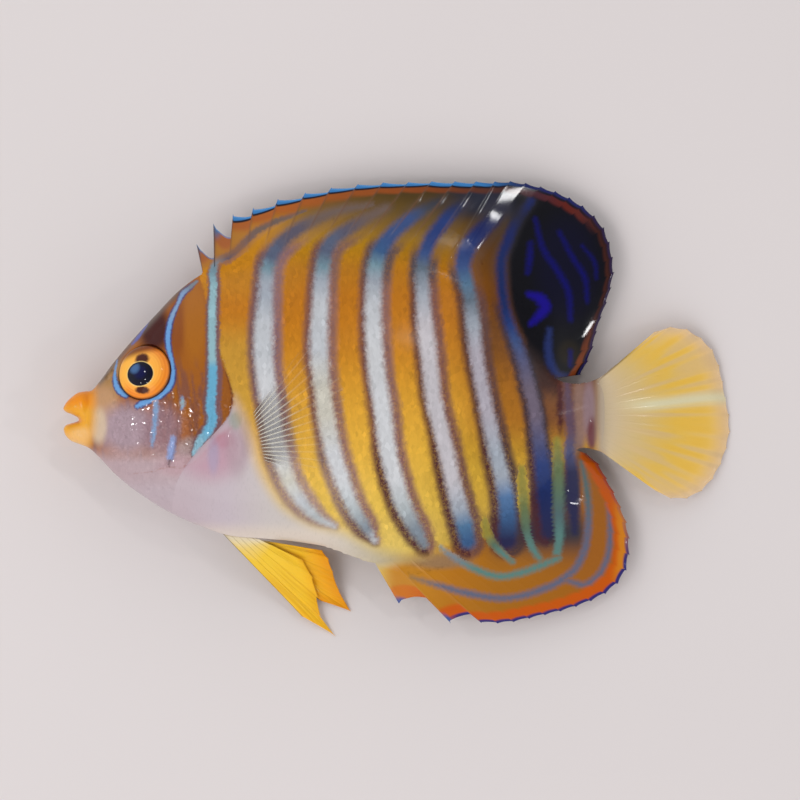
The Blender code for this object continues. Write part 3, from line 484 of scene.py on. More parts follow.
def spot(x, y, centre_x, centre_y, half_x, half_y):
    return 1 - ease(np.hypot((x - centre_x) / half_x, (y - centre_y) / half_y), 0.55, 1.35)


def wash(colour, code, weight):
    return colour + (tone(code) - colour) * np.clip(weight, 0, 1)[:, None]


def layered(colour, *layers):
    """A ground under washes, each as (web colour, weight)."""
    for code, weight in layers:
        colour = wash(colour, code, weight)
    return colour


def graded(value, stops):
    """A colour that runs through a row of (value, web colour) stops."""
    at = [stop[0] for stop in stops]
    codes = np.array([tone(stop[1]) for stop in stops])
    return np.stack([np.interp(value, at, codes[:, k]) for k in range(3)], -1)


FLANK_STOPS = [(-21, "#D8BA60"), (-14, "#DCB54C"), (-6, "#DEAB3E"), (2, "#D2972E"), (8, "#C4801E"),
               (12, "#BE7616"), (16, "#B87010"), (20, "#B07008"), (24, "#AE7E12"), (28, "#946E24"),
               (31, "#86602A")]
# How far the flank and the dorsal fin darken towards the fin's black rear lobe
DUSK_AT, DUSK = [0.38, 0.5, 0.7, 0.86, 1.0, 1.2, 1.4], [0.0, 0.12, 0.33, 0.5, 0.68, 0.88, 0.97]
BLACK_LOBE = [(16.8, 30.8), (16.1, 26), (15.4, 22), (15.4, 18), (16.0, 14), (17.2, 11.0), (18.6, 9.0),
              (20.4, 7.4), (21.6, 5.8), (23.5, 4.4), (27, 4.5), (29.5, 10), (31.5, 16), (32, 22), (30, 28),
              (24, 32)]
PALE_EDGE = [(-23.2, 1.6), (-22.0, -0.6), (-20.6, -4), (-19.5, -8), (-18.0, -11), (-16.2, -13.5),
             (-12.5, -15.9), (-8, -17.2), (-3.5, -19.4), (0.5, -20.7), (3.0, -21.2)]

pale_edge = Curve(PALE_EDGE)
PALE_STOPS = [(-30, "#B8A6AC"), (-24, "#BCAEB4"), (-18, "#C2B8B4"), (-8, "#C4BAAC"), (2, "#B09C6C")]
BLUSH = [(-30.2, -8.3), (-26.8, -5.4), (-23.6, -2.6), (-22.2, -3.8), (-22.0, -7.0), (-24.3, -9.4),
         (-27.7, -9.6)]
ANAL_STOPS = [(-2, "#BC7E26"), (3, "#B87A1A"), (8, "#AC6C14"), (14, "#A06414"), (24, "#9C5E16"),
              (28, "#985A1C")]
LIP_PATCH = [(-43.2, 3.4), (-43.1, 1.0), (-43.0, -1.5), (-43.4, -3.6), (-44.4, -5.8), (-46, -6.5),
             (-48.5, -4), (-48.5, 1), (-46, 3.4)]


def towards_lobe(x, y):
    """How far along the slanting way to the dorsal fin's black lobe a place lies, about 1 at the lobe."""
    return (x + 14 + 3.2 * (y - 20)) / 40


def flank_colour(x, y):
    """Colour of the orange bands and of what else lies between the light stripes behind the gill cover."""
    dusk = np.interp(towards_lobe(x, y), DUSK_AT, DUSK) * ease(y, 15, 20)
    colour = layered(
        graded(y, FLANK_STOPS),
        ("#BC943C", 0.6 * (1 - ease(x, -21.5, -19)) * ease(y, -6, 0) * (1 - ease(y, 8, 14))),
        ("#C07E18", 0.7 * (1 - ease(x, -20, -12)) * ease(y, 14, 18)),
        ("#B08820", 0.6 * ease(x, 0, 10) * (1 - ease(y, -6, 0))),
        ("#9A5C18", 0.85 * ease(x, 5, 16) * ease(y, -9, -1)),
        ("#6A3C0A", 0.92 * ease(x, 7, 13.5) * ease(y, 0, 12)),
        ("#7A4C2A", ease(x, 17.5, 19.5) * ease(y, -5, -1)),
        ("#44261E", ease(x, 18.5, 20.5) * ease(y, 0.5, 3.5) * (1 - ease(x, 22.5, 23.4))),
        ("#2A2020", ease(x, 17.5, 18.8) * ease(y, 2.5, 7.5)),
        ("#2C2410", 0.9 * dusk), ("#242634", dusk * ease(y, 26, 28.5) * ease(x, 4, 11)))
    return stalk_and_anal(colour, x, y)


def stalk_and_anal(colour, x, y):
    """The tail stalk, the ground of the anal fin and the dorsal fin's black lobe."""
    colour = layered(
        colour, ("#8A6A5E", spot(x, y, 25.8, -1, 1.0, 6.5)), ("#8C7276", spot(x, y, 27.2, 0, 0.9, 4.5)),
        ("#6A3A3E", spot(x, y, 27.6, -3.6, 0.7, 2.4)), ("#4C2424", spot(x, y, 23.1, 0.5, 0.5, 4.0)),
        ("#B09E88", ease(x, 27.6, 29.2)))
    anal = ease(belly.second_at(x) - y, -1.5, 1.5) * ease(x, -4, 0) * (1 - ease(y, -7, -5))
    root_shade = ease(x, 11, 15) * (1 - ease(x, 25.5, 28)) * bell(y + 17.5, 3.0) * ease(-y, 13, 15.5)
    lobe = inside(BLACK_LOBE, x, y, 1.0)
    return layered(
        mix(colour, graded(x, ANAL_STOPS), anal[:, None]), ("#3A3438", root_shade),
        ("#32323E", ease(x, 18.3, 19.6) * (1 - ease(x, 25.5, 26.5)) * bell(y + 12, 5.5)),
        ("#6E7068", 0.5 * anal * spot(x, y, 6, -21.5, 4.5, 1.2)), ("#09080F", lobe),
        ("#090822", 0.8 * lobe * spot(x, y, 24, 20, 4.5, 7.5)),
        ("#241C10", 0.7 * spot(x, y, 24.4, 8, 1.6, 1.8)))


def head_colour(x, y):
    """Colour of the head between its blue lines."""
    def at(*place):
        return spot(x, y, *place)

    streak = value_noise(x + 0.12 * y, y * 0.16, 0.36, 3)
    brow_edge = ease(y - back.second_at(x), -1.5, -0.2) * (1 - ease(x, -31, -28.5))
    low = ease(-y, 4.5, 8.0) * (1 - ease(x, -31, -27) * (1 - ease(-y, 7.5, 8.5)))
    lip = inside(LIP_PATCH, x, y, 1.1)
    return layered(
        np.broadcast_to(tone("#9C5A1C"), x.shape + (3,)),
        ("#7A4A3C", 0.8 * ease(streak, 0.45, 0.75) * (1 - ease(y, 4, 9))),
        ("#7E3E1C", 0.6 * at(-31.2, 11.5, 1.2, 4.5)), ("#A8661C", 0.8 * at(-28.6, 12.5, 1.6, 6)),
        ("#A07848", at(-41.0, 4.5, 3.0, 3.0)), ("#40120C", at(-34.4, 11.3, 2.3, 3.6)),
        ("#5E5048", 0.8 * brow_edge), ("#B88C64", at(-41.8, 0.8, 2.4, 2.6)),
        ("#A48C94", at(-38.2, -2.8, 4.4, 3.6)), ("#92727A", 0.85 * at(-33.2, -3.0, 3.0, 3.8)),
        ("#A8622A", 0.7 * at(-29.9, -3.4, 0.55, 2.4)), ("#9C8480", 0.9 * at(-29.3, -5.6, 1.9, 1.6)),
        ("#B0989C", low), ("#B28E94", 0.7 * at(-30.5, -8.0, 3.5, 1.6)), ("#B4A2A8", ease(-y, 8.8, 12)),
        ("#D0B89A", 0.8 * at(-42.3, -2.4, 1.2, 2.6)), ("#E4A02C", lip), ("#E88A12", lip * ease(y, -0.6, 1.2)),
        ("#E8B470", 0.8 * lip * at(-44.6, -4.2, 2.4, 1.6)), ("#C9785E", 0.6 * at(-46.0, -1.6, 1.2, 0.5)))


def body_colour(x, y):
    """Colour of the flesh without its lines, and how far the pale breast covers a place."""
    on_head = (1 - ease(x - gill.second_at(y), -0.05, 0.05)) * (1 - ease(y, 19.5, 21.5))
    away, _ = pale_edge.near(x, y, 40.0)
    pale = ease(-away, -1.4, 1.7) * ease(y - belly.second_at(x), -1.5, 0.3 - 1.7 * (x < -6))
    breast = layered(
        graded(x, PALE_STOPS), ("#D8C8B8", 0.7 * ease(-y, 15.5, 18) * (1 - ease(x, -12, -4))),
        ("#B68C9A", 0.85 * inside(BLUSH, x, y, 2.0)), ("#B07686", 0.5 * spot(x, y, -24.6, -4.4, 1.6, 1.1)),
        ("#9C94B0", 0.55 * spot(x, y, -26.0, -6.6, 0.8, 2.6)),
        ("#A28C92", 0.5 * spot(x, y, -22.6, -5.6, 1.6, 4.2)),
        ("#94988E", 0.8 * spot(x, y, -22.9, -1.6, 0.9, 1.3)))
    colour = mix(flank_colour(x, y), breast, pale[:, None])
    cover_rear, upper = ease(x, -27.5, -25.3) * ease(y, -2.5, 0), ease(y, 4, 10)
    front = layered(head_colour(x, y), ("#A8641A", cover_rear * upper), ("#94541A", cover_rear * (1 - upper)))
    return mix(colour, front, on_head[:, None]), pale * (1 - on_head)


def markings(x, y):
    """Everything that the skin's shader reads at points of the side view.

    mark is the distance outside the nearest light line, reach its dark border's width, soft their softness.
    """
    base, pale = body_colour(x, y)
    light, border = np.zeros(x.shape + (3,)), np.zeros(x.shape + (3,))
    mark, reach, soft = np.full(x.shape, FAR), np.zeros(x.shape), np.full(x.shape, 0.3)
    for lines, softness, front, rear, front_tint, rear_tint in MARK_KINDS:
        before = wash(graded(x, front_tint), "#48222A", ease(-y, 2, 9) * 0.8)
        after = graded(x, rear_tint)
        for line in lines:
            points = [point for run in line for point in run[1:]]
            tints = np.array([tone(TINTS[run[0]]) for run in line for _ in run[1:]])
            curve = Curve([point[:2] for point in points], 6)
            away, share = curve.near(x, y, MARK_REACH)
            half = np.interp(share, curve.knots, [point[2] for point in points])
            value, behind = np.abs(away) - half, away > 0
            wide = np.where(behind, rear, front * mix(1, 1.4, ease(-y, 2, 9)))
            wide = wide * ease(half, 0.1, 0.8 if rear > 0.5 else 0.3)
            nearer = (value - wide < mark - reach) | ((front == 0) & (value < 0.15))
            mark[nearer], reach[nearer], soft[nearer] = value[nearer], wide[nearer], softness
            for k in range(3):
                light[nearer, k] = np.interp(share, curve.knots, tints[:, k])[nearer]
            border[nearer] = np.where(behind[:, None], after, before)[nearer]
    fade = ease(pale, 0.25, 0.95)
    dim = ease(y - back.second_at(x), -1.0, 1.5)
    border = layered(border, ("#A88C82", 0.7 * ease(-y, 0, 12) * (1 - ease(x, -12, -3)) * (x > -22)),
                     ("#46424A", 0.85 * ease(y, 16, 20) * ease(x, -16, 2)))
    border = mix(mix(border, base, fade[:, None]), base, (dim * 0.75)[:, None])
    light = mix(light, base, (fade * 0.85)[:, None])
    late = np.interp(towards_lobe(x, y), [1.05, 1.35], [0, 0.85])
    light = wash(light, "#28262E", late * ease(y, 24, 28) * (1 - ease(x, 17, 19)))
    return {"base": base, "light": light, "border": border, "mark": np.clip(mark, -FAR, FAR), "reach": reach,
            "soft": soft}


# Meshes.


def make_object(name, points, faces, fields, material):
    """A mesh object from millimetre points, with a colour or number field of each name on its points."""
    mesh = bpy.data.meshes.new(name)
    mesh.from_pydata((points * MM).tolist(), [], faces if isinstance(faces, list) else faces.tolist())
    for key, values in fields.items():
        values = np.asarray(values, np.float32)
        if values.ndim == 1:
            mesh.attributes.new(key, "FLOAT", "POINT").data.foreach_set("value", values)
        else:
            rgba = np.ones((len(values), 4), np.float32)
            rgba[:, :3] = values
            mesh.attributes.new(key, "FLOAT_COLOR", "POINT").data.foreach_set("color", rgba.ravel())
    corners = np.array([v.co for v in mesh.vertices])
    mesh.calc_loop_triangles()
    triangles = np.array([t.vertices[:] for t in mesh.loop_triangles])
    a, b, c = (corners[triangles[:, k]] for k in range(3))
    if (a * np.cross(b, c)).sum() < 0:
        mesh.flip_normals()
    mesh.shade_smooth()
    mesh.materials.append(material)
    made = bpy.data.objects.new(name, mesh)
    bpy.context.scene.collection.objects.link(made)
    return made


def sheet_faces(rows, columns, start=0, turned=False):
    """Quads between the points of a grid stored row by row."""
    i, j = np.meshgrid(np.arange(rows - 1), np.arange(columns - 1), indexing="ij")
    a = (start + i * columns + j).ravel()
    quads = np.stack([a, a + 1, a + columns + 1, a + columns], 1)
    return quads[:, ::-1] if turned else quads


def rim_faces(rows, columns, other):
    """Quads that join the rims of two grids of one size, the second one's points starting at other."""
    top = list(range(columns))
    right = [i * columns + columns - 1 for i in range(1, rows)]
    bottom = [(rows - 1) * columns + j for j in range(columns - 2, -1, -1)]
    left = [i * columns for i in range(rows - 2, 0, -1)]
    ring = np.array(top + right + bottom + left)
    after = np.roll(ring, -1)
    return np.stack([after, ring, ring + other, after + other], 1)


def closed_faces(rows, columns):
    size = rows * columns
    return np.concatenate([sheet_faces(rows, columns), sheet_faces(rows, columns, size, True),
                           rim_faces(rows, columns, size)])


def make_sheet(name, top, under, shape, fields, material):
    """A closed thin body from two grids of points, which share their fields."""
    fields = {key: np.concatenate([value, value]) for key, value in fields.items()}
    return make_object(name, np.concatenate([top, under]), closed_faces(*shape), fields, material)


def crowded(count, amount):
    """Shares from 0 to 1, closer together at both ends."""
    t = np.linspace(0, 1, count)
    return mix(t, 0.5 - 0.5 * np.cos(np.pi * t), amount)


# The skin.


SKIN_ROWS = 150
SNOUT_REAR = -43.2


def skin_grid():
    """Side-view points of the skin, by column from the lips to the tail and by row from belly to back."""
    v = crowded(SKIN_ROWS, 0.5)
    snout_u = 1 - np.cos(np.linspace(0, np.pi / 2, 30)[:-1])
    head_u = np.linspace(0, 1, 58)[:-1]
    cheek_u = np.concatenate([[0, 0.012], np.linspace(0.04, 0.96, 32), [0.985]])
    torso_u = np.concatenate([[0, 0.0012, 0.004], np.linspace(0.008, 1, 196)])
    columns = np.concatenate([snout_u, 1 + head_u, 2 + cheek_u, 3 + torso_u])
    # The lines that the columns pass through: lips, snout, cheek, gill cover and tail, and their ends
    lines = [(lips.second_at, -46.3, -46.2), (lambda h: SNOUT_REAR + 0 * h, SNOUT_REAR, SNOUT_REAR),
             (cheek.second_at, CHEEK_EDGE[0][1], CHEEK_EDGE[-1][1]),
             (gill.second_at, GILL_EDGE[0][1], GILL_EDGE[-1][1]),
             (lambda h: FLESH_REAR + 0 * h, FLESH_REAR, FLESH_REAR)]
    stops = range(len(lines))
    low = np.interp(columns, stops, [line[1] for line in lines])
    high = np.interp(columns, stops, [line[2] for line in lines])
    y = mix(belly.second_at(low)[:, None], back.second_at(high)[:, None], v[None, :])
    guides = np.stack([place(mix(belly.second_at(first), back.second_at(last), v))
                       for place, first, last in lines])
    x = np.stack([np.interp(columns, stops, guides[:, j]) for j in range(SKIN_ROWS)], 1)
    torso = columns > 3
    straight = mix(low[torso][:, None], high[torso][:, None], v[None, :])
    bulge = guides[3] - mix(GILL_EDGE[0][1], GILL_EDGE[-1][1], v)
    x[torso] = straight + bulge[None, :] * (np.maximum(0, 1 - (columns[torso] - 3) / 0.6) ** 2)[:, None]
    return x, y


def eye_frame(side):
    """Where an eyeball's centre lies, and the way that it looks."""
    x, y = EYE_CENTRE
    step = 2.0

    def half(px, py):
        return float(body_half(np.array([px]), np.array([py]))[0])

    slope_x = (half(x + step, y) - half(x - step, y)) / (2 * step)
    slope_y = (half(x, y + step) - half(x, y - step)) / (2 * step)
    outward = Vector((-slope_x, -slope_y, side)).normalized()
    surface = Vector((x, y, float(middle(np.array(x))) + side * half(x, y)))
    return surface + outward * (EYE_STANDS_OUT - EYE_DEPTH), outward


def eye_axes(outward):
    """Two directions across the eye: tailwards and up the fish's back."""
    up = (Vector((0, 1, 0)) - outward * outward.y).normalized()
    tailwards = up.cross(outward) * (1 if outward.z > 0 else -1)
    return tailwards, up


def sink_socket(points, side):
    """Turns the skin in under the eyeball, with a soft raised rim."""
    centre, outward = eye_frame(side)
    rel = points - np.array(centre)
    along = rel @ np.array(outward)
    across = np.linalg.norm(rel - along[:, None] * np.array(outward), axis=1)
    near = (along > -4) & (across < 6)
    drop = 1.7 * (1 - ease(across, IRIS_RADIUS - 0.25, IRIS_RADIUS + 0.18)) - 0.1 * bell(across - 4.4, 0.4)
    return points - np.array(outward) * (drop * near)[:, None]


def stalk_end(x):
    """1 on the flesh, falling to 0 where the skin has thinned out on the tail fin."""
    return 1 - ease(x, 27.0, 30.2)


def make_skin(material):
    """The whole skin from lips to tail, with its fields, from the left and the right flank."""
    x, y = skin_grid()
    shape = x.shape
    x, y = x.ravel(), y.ravel()
    low, high = belly.second_at(x), back.second_at(x)
    off_middle = np.abs(2 * (y - low) / (high - low) - 1)
    halves = []
    for side in (1, -1):
        tail_z = caudal_middle(x) + side * (caudal_half(x, off_middle) - 0.15)
        points = sink_socket(np.stack([x, y, mix(tail_z, flank(x, y, side), stalk_end(x))], 1), side)
        points[:, 2] = np.maximum(points[:, 2], 0)
        halves.append(points)
    return make_sheet("skin", *halves, shape, markings(x, y), material)


# The tail fin's own form, which the end of the skin reads too.

CAUDAL_RIM = [(36.6, 11.0), (38.6, 11.7), (41.0, 11.5), (43.5, 10.0), (45.4, 7.8), (46.2, 5.0), (46.8, 2.0),
              (47.3, -0.5), (47.5, -3.0), (46.7, -6.5), (45.2, -9.7), (43.0, -12.0), (40.2, -12.95),
              (38.2, -12.5), (36.8, -11.7)]
CAUDAL_RAYS, CAUDAL_ROOT, CAUDAL_END = 17, 1.3, 47.5


def caudal_middle(x):
    out = np.clip((x - STALK_REAR) / (CAUDAL_END - STALK_REAR), 0, 1)
    return mix(middle(np.minimum(x, STALK_REAR)), 0.25, out**1.3)


def caudal_half(x, off_middle):
    return mix(CAUDAL_ROOT * mix(1, 0.45, off_middle**2), 0.07, ease(x, 27.0, 39.0) ** 0.7)


# Scales.


def template(rows, columns):
    """One scale along x: a thin shingle with a round rear edge, its rim sunk into the skin, closed below."""
    t = np.linspace(0, 1, rows)[:, None]
    s = np.linspace(-1, 1, columns)[None, :]
    along = mix(-0.55, 0.66 - 0.34 * s**2, t)
    across = s * 0.56 * (0.72 + 0.28 * np.sin(np.pi * np.clip(t, 0, 0.62) / 1.24)) + 0 * t
    lift = (0.05 + 0.95 * t**0.7) * (1 - 0.5 * s**2)
    top = np.stack([along, across, lift], -1).reshape(-1, 3)
    ring = rim_faces(rows, columns, 0)[:, 1]
    skirt = top[ring].copy()
    skirt[:, 2] = -1.2
    skirt[:, :2] *= 0.94
    count = rows * columns
    after = np.roll(np.arange(len(ring)), -1)
    walls = np.stack([ring[after], ring, count + np.arange(len(ring)), count + after], 1)
    floor = [count + k for k in range(len(ring))]
    quads = np.concatenate([sheet_faces(rows, columns), walls])
    return np.concatenate([top, skirt]), quads, floor


def sharpen_rims(made, size, shape):
    """Keeps the top of each scale smooth up to its rim."""
    rim = np.zeros(size, bool)
    rim[rim_faces(*shape, 0)[:, 1]] = True
    ends = np.empty(len(made.data.edges) * 2, np.int32)
    made.data.edges.foreach_get("vertices", ends)
    sharp = rim[ends.reshape(-1, 2) % size].all(1)
    made.data.attributes.new("sharp_edge", "BOOLEAN", "EDGE").data.foreach_set("value", sharp)


SCALE_GAP, SCALE_SUNK = 0.008, -0.07  # height over the skin of a scale's lowest part, and of its skirt


def make_scales(name, side, roots, shape, material, lift, jitter, wobble=0.0):
    """Scales from rows of (x, y, length, width, heading, share of the full lift, row number)."""
    form, quads, floor = template(*shape)
    count, size = len(roots), len(form)
    turn, share = roots[:, 4][:, None], roots[:, 5][:, None]
    along, across = form[None, :, 0] * roots[:, 2][:, None], form[None, :, 1] * roots[:, 3][:, None]
    x = (roots[:, 0][:, None] + along * np.cos(turn) - across * np.sin(turn)).ravel()
    y = (roots[:, 1][:, None] + along * np.sin(turn) + across * np.cos(turn)).ravel()
    tilt = rng.normal(0, wobble, (2, count, 1)) * share
    height = SCALE_GAP + form[None, :, 2] * share * lift + along * tilt[0] + across * tilt[1]
    height = np.where(form[None, :, 2] > 0, height, SCALE_SUNK)
    out, droop = np.zeros(x.shape), np.zeros(x.shape)
    for fin, sag, beyond in ((dorsal_fan, DORSAL_SAG, y > back.second_at(x)),
                             (anal_fan, ANAL_SAG, y < belly.second_at(x))):
        out[beyond] = np.clip(fin.locate(x[beyond], y[beyond])[1], 0, 1)
        droop[beyond] = sag * out[beyond] ** 1.5
    z = flank(x, y, side, height.ravel(), out, droop)
    shift = rng.normal(0, jitter, (2, count)) * np.minimum(roots[:, 5], 1)
    fields = markings(x + np.repeat(shift[0], size), y + np.repeat(shift[1], size))
    fields["tint"] = np.repeat(rng.normal(0, 1, count) * roots[:, 5], size)
    starts = np.arange(count) * size
    faces = (quads[None] + starts[:, None, None]).reshape(-1, 4).tolist()
    faces += (np.array(floor)[None] + starts[:, None]).tolist()
    made = make_object(name, np.stack([x, y, z], 1), faces, fields, material)
    add_patches(made, roots, form, side)
    sharpen_rims(made, size, shape)
    return made


PATCH = 0.003  # size of a scale's place on the unwrapped skin


def add_patches(made, roots, form, side):
    """The OFBake map: each scale as a small patch at its root's place on the unwrapped skin."""
    layer = made.data.uv_layers.new(name="OFBake")
    across = (roots[:, 6] - roots[:, 6].min()) / np.ptp(roots[:, 6])
    along = (roots[:, 0] + 48) / 96
    place = np.stack([0.02 + 0.96 * along, 0.02 + 0.46 * across + (0 if side > 0 else 0.5)], 1)
    local = form[:, :2] / 1.3 * PATCH
    uv = (place[:, None, :] + local[None]).reshape(-1, 2)
    loops = np.empty(len(made.data.loops), np.int32)
    made.data.loops.foreach_get("vertex_index", loops)
    layer.data.foreach_set("uv", uv[loops].astype(np.float32).ravel())


FLANK_PITCH, BASE_PITCH = 0.72, 0.42


def flank_roots():
    """Scale rows that follow the back above the middle and the belly below it, small by the fins' bases."""
    roots = []
    number = 0
    for outline, inward in ((back, -1), (belly, 1)):
        depth = -5.6 if inward < 0 else -2.6
        while depth < 23:
            pitch = mix(BASE_PITCH, FLANK_PITCH, float(ease(depth, -1.5, 6)))
            x = np.arange(-33.0, 29.4, pitch) + (0.5 * pitch if number % 2 else 0)
            x = x + rng.normal(0, 0.09 * pitch, len(x))
            y = outline.second_at(x) + inward * depth + rng.normal(0, 0.06 * pitch, len(x))
            centre = mix(belly.second_at(x), back.second_at(x), 0.5)
            keep = (centre - y) * inward > -0.3 * pitch
            keep &= x > gill.second_at(y) + 0.35 * pitch
            keep &= ((y < 18.5) | (x > -27.5)) & (x < 26.9)
            keep &= (depth > 0.1) | ((x > (-20 if inward < 0 else 1)) & (x < 21))
            keep &= (depth > 0.1) | (-depth < mix(1.5, 5.6, ease(x, -20, 0)))
            keep &= ~((x > -25) & (x < -17.5) & (y < belly.second_at(x) + 0.5))
            slope = (outline.second_at(x + 1) - outline.second_at(x - 1)) / 2
            heading = np.arctan(slope * np.clip(1 - depth / 25, 0, 1)) + rng.normal(0, 0.1, len(x))
            shrink = mix(1, 0.72, ease(x, 20, 29))
            size = pitch * np.clip(rng.normal(1, 0.07, len(x)), 0.8, 1.2)
            raised = (1 - 0.9 * ease(-depth, -1.5, 3.0)) * (1 - 0.8 * ease(x, 23, 27.5))
            away, _ = pale_edge.near(x, y, 40.0)
            keep &= (away > -0.6) | (x > -10)
            raised *= mix(1, 0.2, ease(-away, -2.5, 0.5)) * rng.uniform(0.6, 1.25, len(x))
            fields = [x, y, size * 1.05, size * 1.3 * shrink, heading, raised, number + 0 * x]
            roots.append(np.stack(fields, 1)[keep])
            depth += pitch * 0.62
            number += 1
    return np.concatenate(roots)


def head_roots():
    """Small scales on cheek and gill cover, in slanting rows, none on the lips, brow and eye."""
    roots = []
    pitch = 0.46
    for row, y0 in enumerate(np.arange(-13.5, 17.5, pitch * 0.62)):
        x = np.arange(-42.5, -23.0, pitch) + (0.5 * pitch if row % 2 else 0)
        x = x + rng.normal(0, 0.03, len(x))
        y = y0 + 0.12 * (x + 33)
        keep = x < gill.second_at(y) - 0.2
        keep &= (y < np.minimum(back.second_at(x) - 0.8, 5.5)) & (y > belly.second_at(x) + 0.8)
        keep &= np.hypot(x - EYE_CENTRE[0], y - EYE_CENTRE[1]) > 4.9
        keep &= np.abs(x - cheek.second_at(y)) > 0.25
        keep &= x > mix(-41.8, -40.4, ease(y, -4, 0))
        raised = mix(1.0, 0.2, ease(y, 0, 4)) * ease(x, -42, -40) * mix(0.4, 1, ease(y, -9, -6))
        roots.append(np.stack([x, y, pitch * 1.1 + 0 * x, pitch * 1.25 + 0 * x, 0.1 + 0 * x, raised,
                               row + 0 * x], 1)[keep])
    return np.concatenate(roots)


# Eyes.


PUPIL_AT, PUPIL_HALF = (-0.08, -0.55), (1.95, 1.7)


def make_eye(name, side, material):
    """The eyeball: a domed front that carries the iris and the pupil as fields, and a plain back inside the
    head.
    """
    centre, outward = eye_frame(side)
    tailwards, up = eye_axes(outward)
    rings, spokes = 72, 120
    angle = np.linspace(0, np.pi, rings)[:, None]
    turn = np.linspace(0, 2 * np.pi, spokes, endpoint=False)[None, :]
    a = (EYE_RADIUS * np.sin(angle) * np.cos(turn)).ravel()
    b = (EYE_RADIUS * np.sin(angle) * np.sin(turn)).ravel()
    c = (EYE_DEPTH * np.cos(angle) + 0 * turn).ravel()
    pupil = np.hypot((a - PUPIL_AT[0]) / PUPIL_HALF[0], (b - PUPIL_AT[1]) / PUPIL_HALF[1])
    points = (np.array(centre)[None] + a[:, None] * np.array(tailwards) + b[:, None] * np.array(up)
              + c[:, None] * np.array(outward))
    i, j = np.meshgrid(np.arange(rings - 1), np.arange(spokes), indexing="ij")
    first = (i * spokes + j).ravel()
    beside = (i * spokes + (j + 1) % spokes).ravel()
    faces = np.stack([first, beside, beside + spokes, first + spokes], 1)
    fields = {"across": a, "up": b, "pupil": pupil}
    return make_object(name, points, faces, fields, material)


# Fins.


def ray_ridges(f, out, rise, branches, width):
    """Height of the rays over the membrane, f rays behind one, at a share of the way out, where they fork."""
    total = np.zeros(f.shape)
    for fork_at, spread in branches:
        apart = spread * np.maximum(out - fork_at, 0) / max(1e-6, 1 - fork_at)
        for way in ((-1, 1) if spread else (1,)):
            for ray in (0.0, 1.0):
                total = np.maximum(total, bell(f - ray - way * apart, width))
    return rise * total


RIM_CROWDING = 2.2  # how much closer the rows of a fin's points lie near its rim


def fan_grid(fan, per_ray, rows, inset=1.0):
    """Side-view points of a fin's membrane, from a little inside the flesh out to its notched rim."""
    count = len(fan.bases)
    steps = np.concatenate([[0, 0.045], np.linspace(0.1, 0.9, per_ray), [0.955]])
    place = np.concatenate([k + steps for k in range(count - 1)] + [[count - 1.0]])
    rim, base, length = fan.rim(place)
    t = np.linspace(0, 1, rows)
    t = mix(t, 1 - (1 - t) ** RIM_CROWDING, 0.45)
    start = -inset / length
    t = start[:, None] + (1 - start[:, None]) * t[None, :]
    x = base[:, 0][:, None] + (rim - base)[:, 0][:, None] * t
    y = base[:, 1][:, None] + (rim - base)[:, 1][:, None] * t
    depth = (1 - t) * length[:, None]
    return place, t, x, y, depth


FIN_MEMBRANE = 0.07  # half-thickness at the rim


def make_unpaired(name, fan, sag, spines, paint_rim, material, rows):
    """The dorsal or the anal fin. Its form reads the way out along whole rays, without their notches."""
    place, t, x, y, depth = fan_grid(fan, 9, rows)
    shape = x.shape
    f = np.broadcast_to((place - np.floor(place))[:, None], shape)
    ray = np.broadcast_to(np.floor(place)[:, None], shape)
    length = depth[:, 0] / (1 - t[:, 0])
    full = np.interp(place, np.arange(len(fan.lengths)), fan.lengths)
    out = np.clip(t * (length / full)[:, None], 0, 1)
    spine = ray < spines
    soft = ray_ridges(f, out, 0.014, ((0.35, 0.16), (0.7, 0.3)), 0.09)
    hard = ray_ridges(f, out, 0.09, ((0, 0),), 0.08) * (1 - 0.5 * out)
    hard = np.where((ray == spines - 1) & (f > 0.5), soft, hard)
    ridges = np.where(spine, hard, soft * (1 - ease(x, 11, 14) * ease(y, 0, 4))) * ease(out, 0, 0.12)
    ribs = ray_ridges(f, np.broadcast_to(np.clip(t, 0, 1), shape), 1.0, ((0, 0),), 0.05)
    x, y, out, ridges, depth, f, ray = (values.ravel() for values in (x, y, out, ridges, depth, f, ray))
    half = body_half(x, y, out, FIN_MEMBRANE) + ridges - 3.0 * np.clip(-t, 0, 1).ravel()
    half *= mix(1, 0.35, ease(-depth, -0.35, 0))
    mid = middle(np.minimum(x, STALK_REAR)) - sag * out**1.5
    fields = paint_rim(markings(x, y), x, y, depth, f, ray, out)
    fields["rib"] = ribs.ravel() * ease(out, 0.05, 0.2) * spine.ravel()
    top, under = np.stack([x, y, mid + half], 1), np.stack([x, y, np.maximum(mid - half, 0)], 1)
    return make_sheet(name, top, under, shape, fields, material)


def overlay(fields, *layers):
    """Paints over both the ground and the light lines."""
    for key in ("base", "light", "border"):
        fields[key] = layered(fields[key], *layers)
    return fields


DORSAL_RIM_STOPS = [(-28, "#9A5628"), (-16, "#A65820"), (-8, "#924C1C"), (0, "#8A4418"), (6, "#763A18"),
                    (10, "#5E3020"), (15, "#452824"), (20, "#44202A"), (24, "#5A1C14"), (27, "#542420"),
                    (29, "#4A2014"), (31, "#562618")]


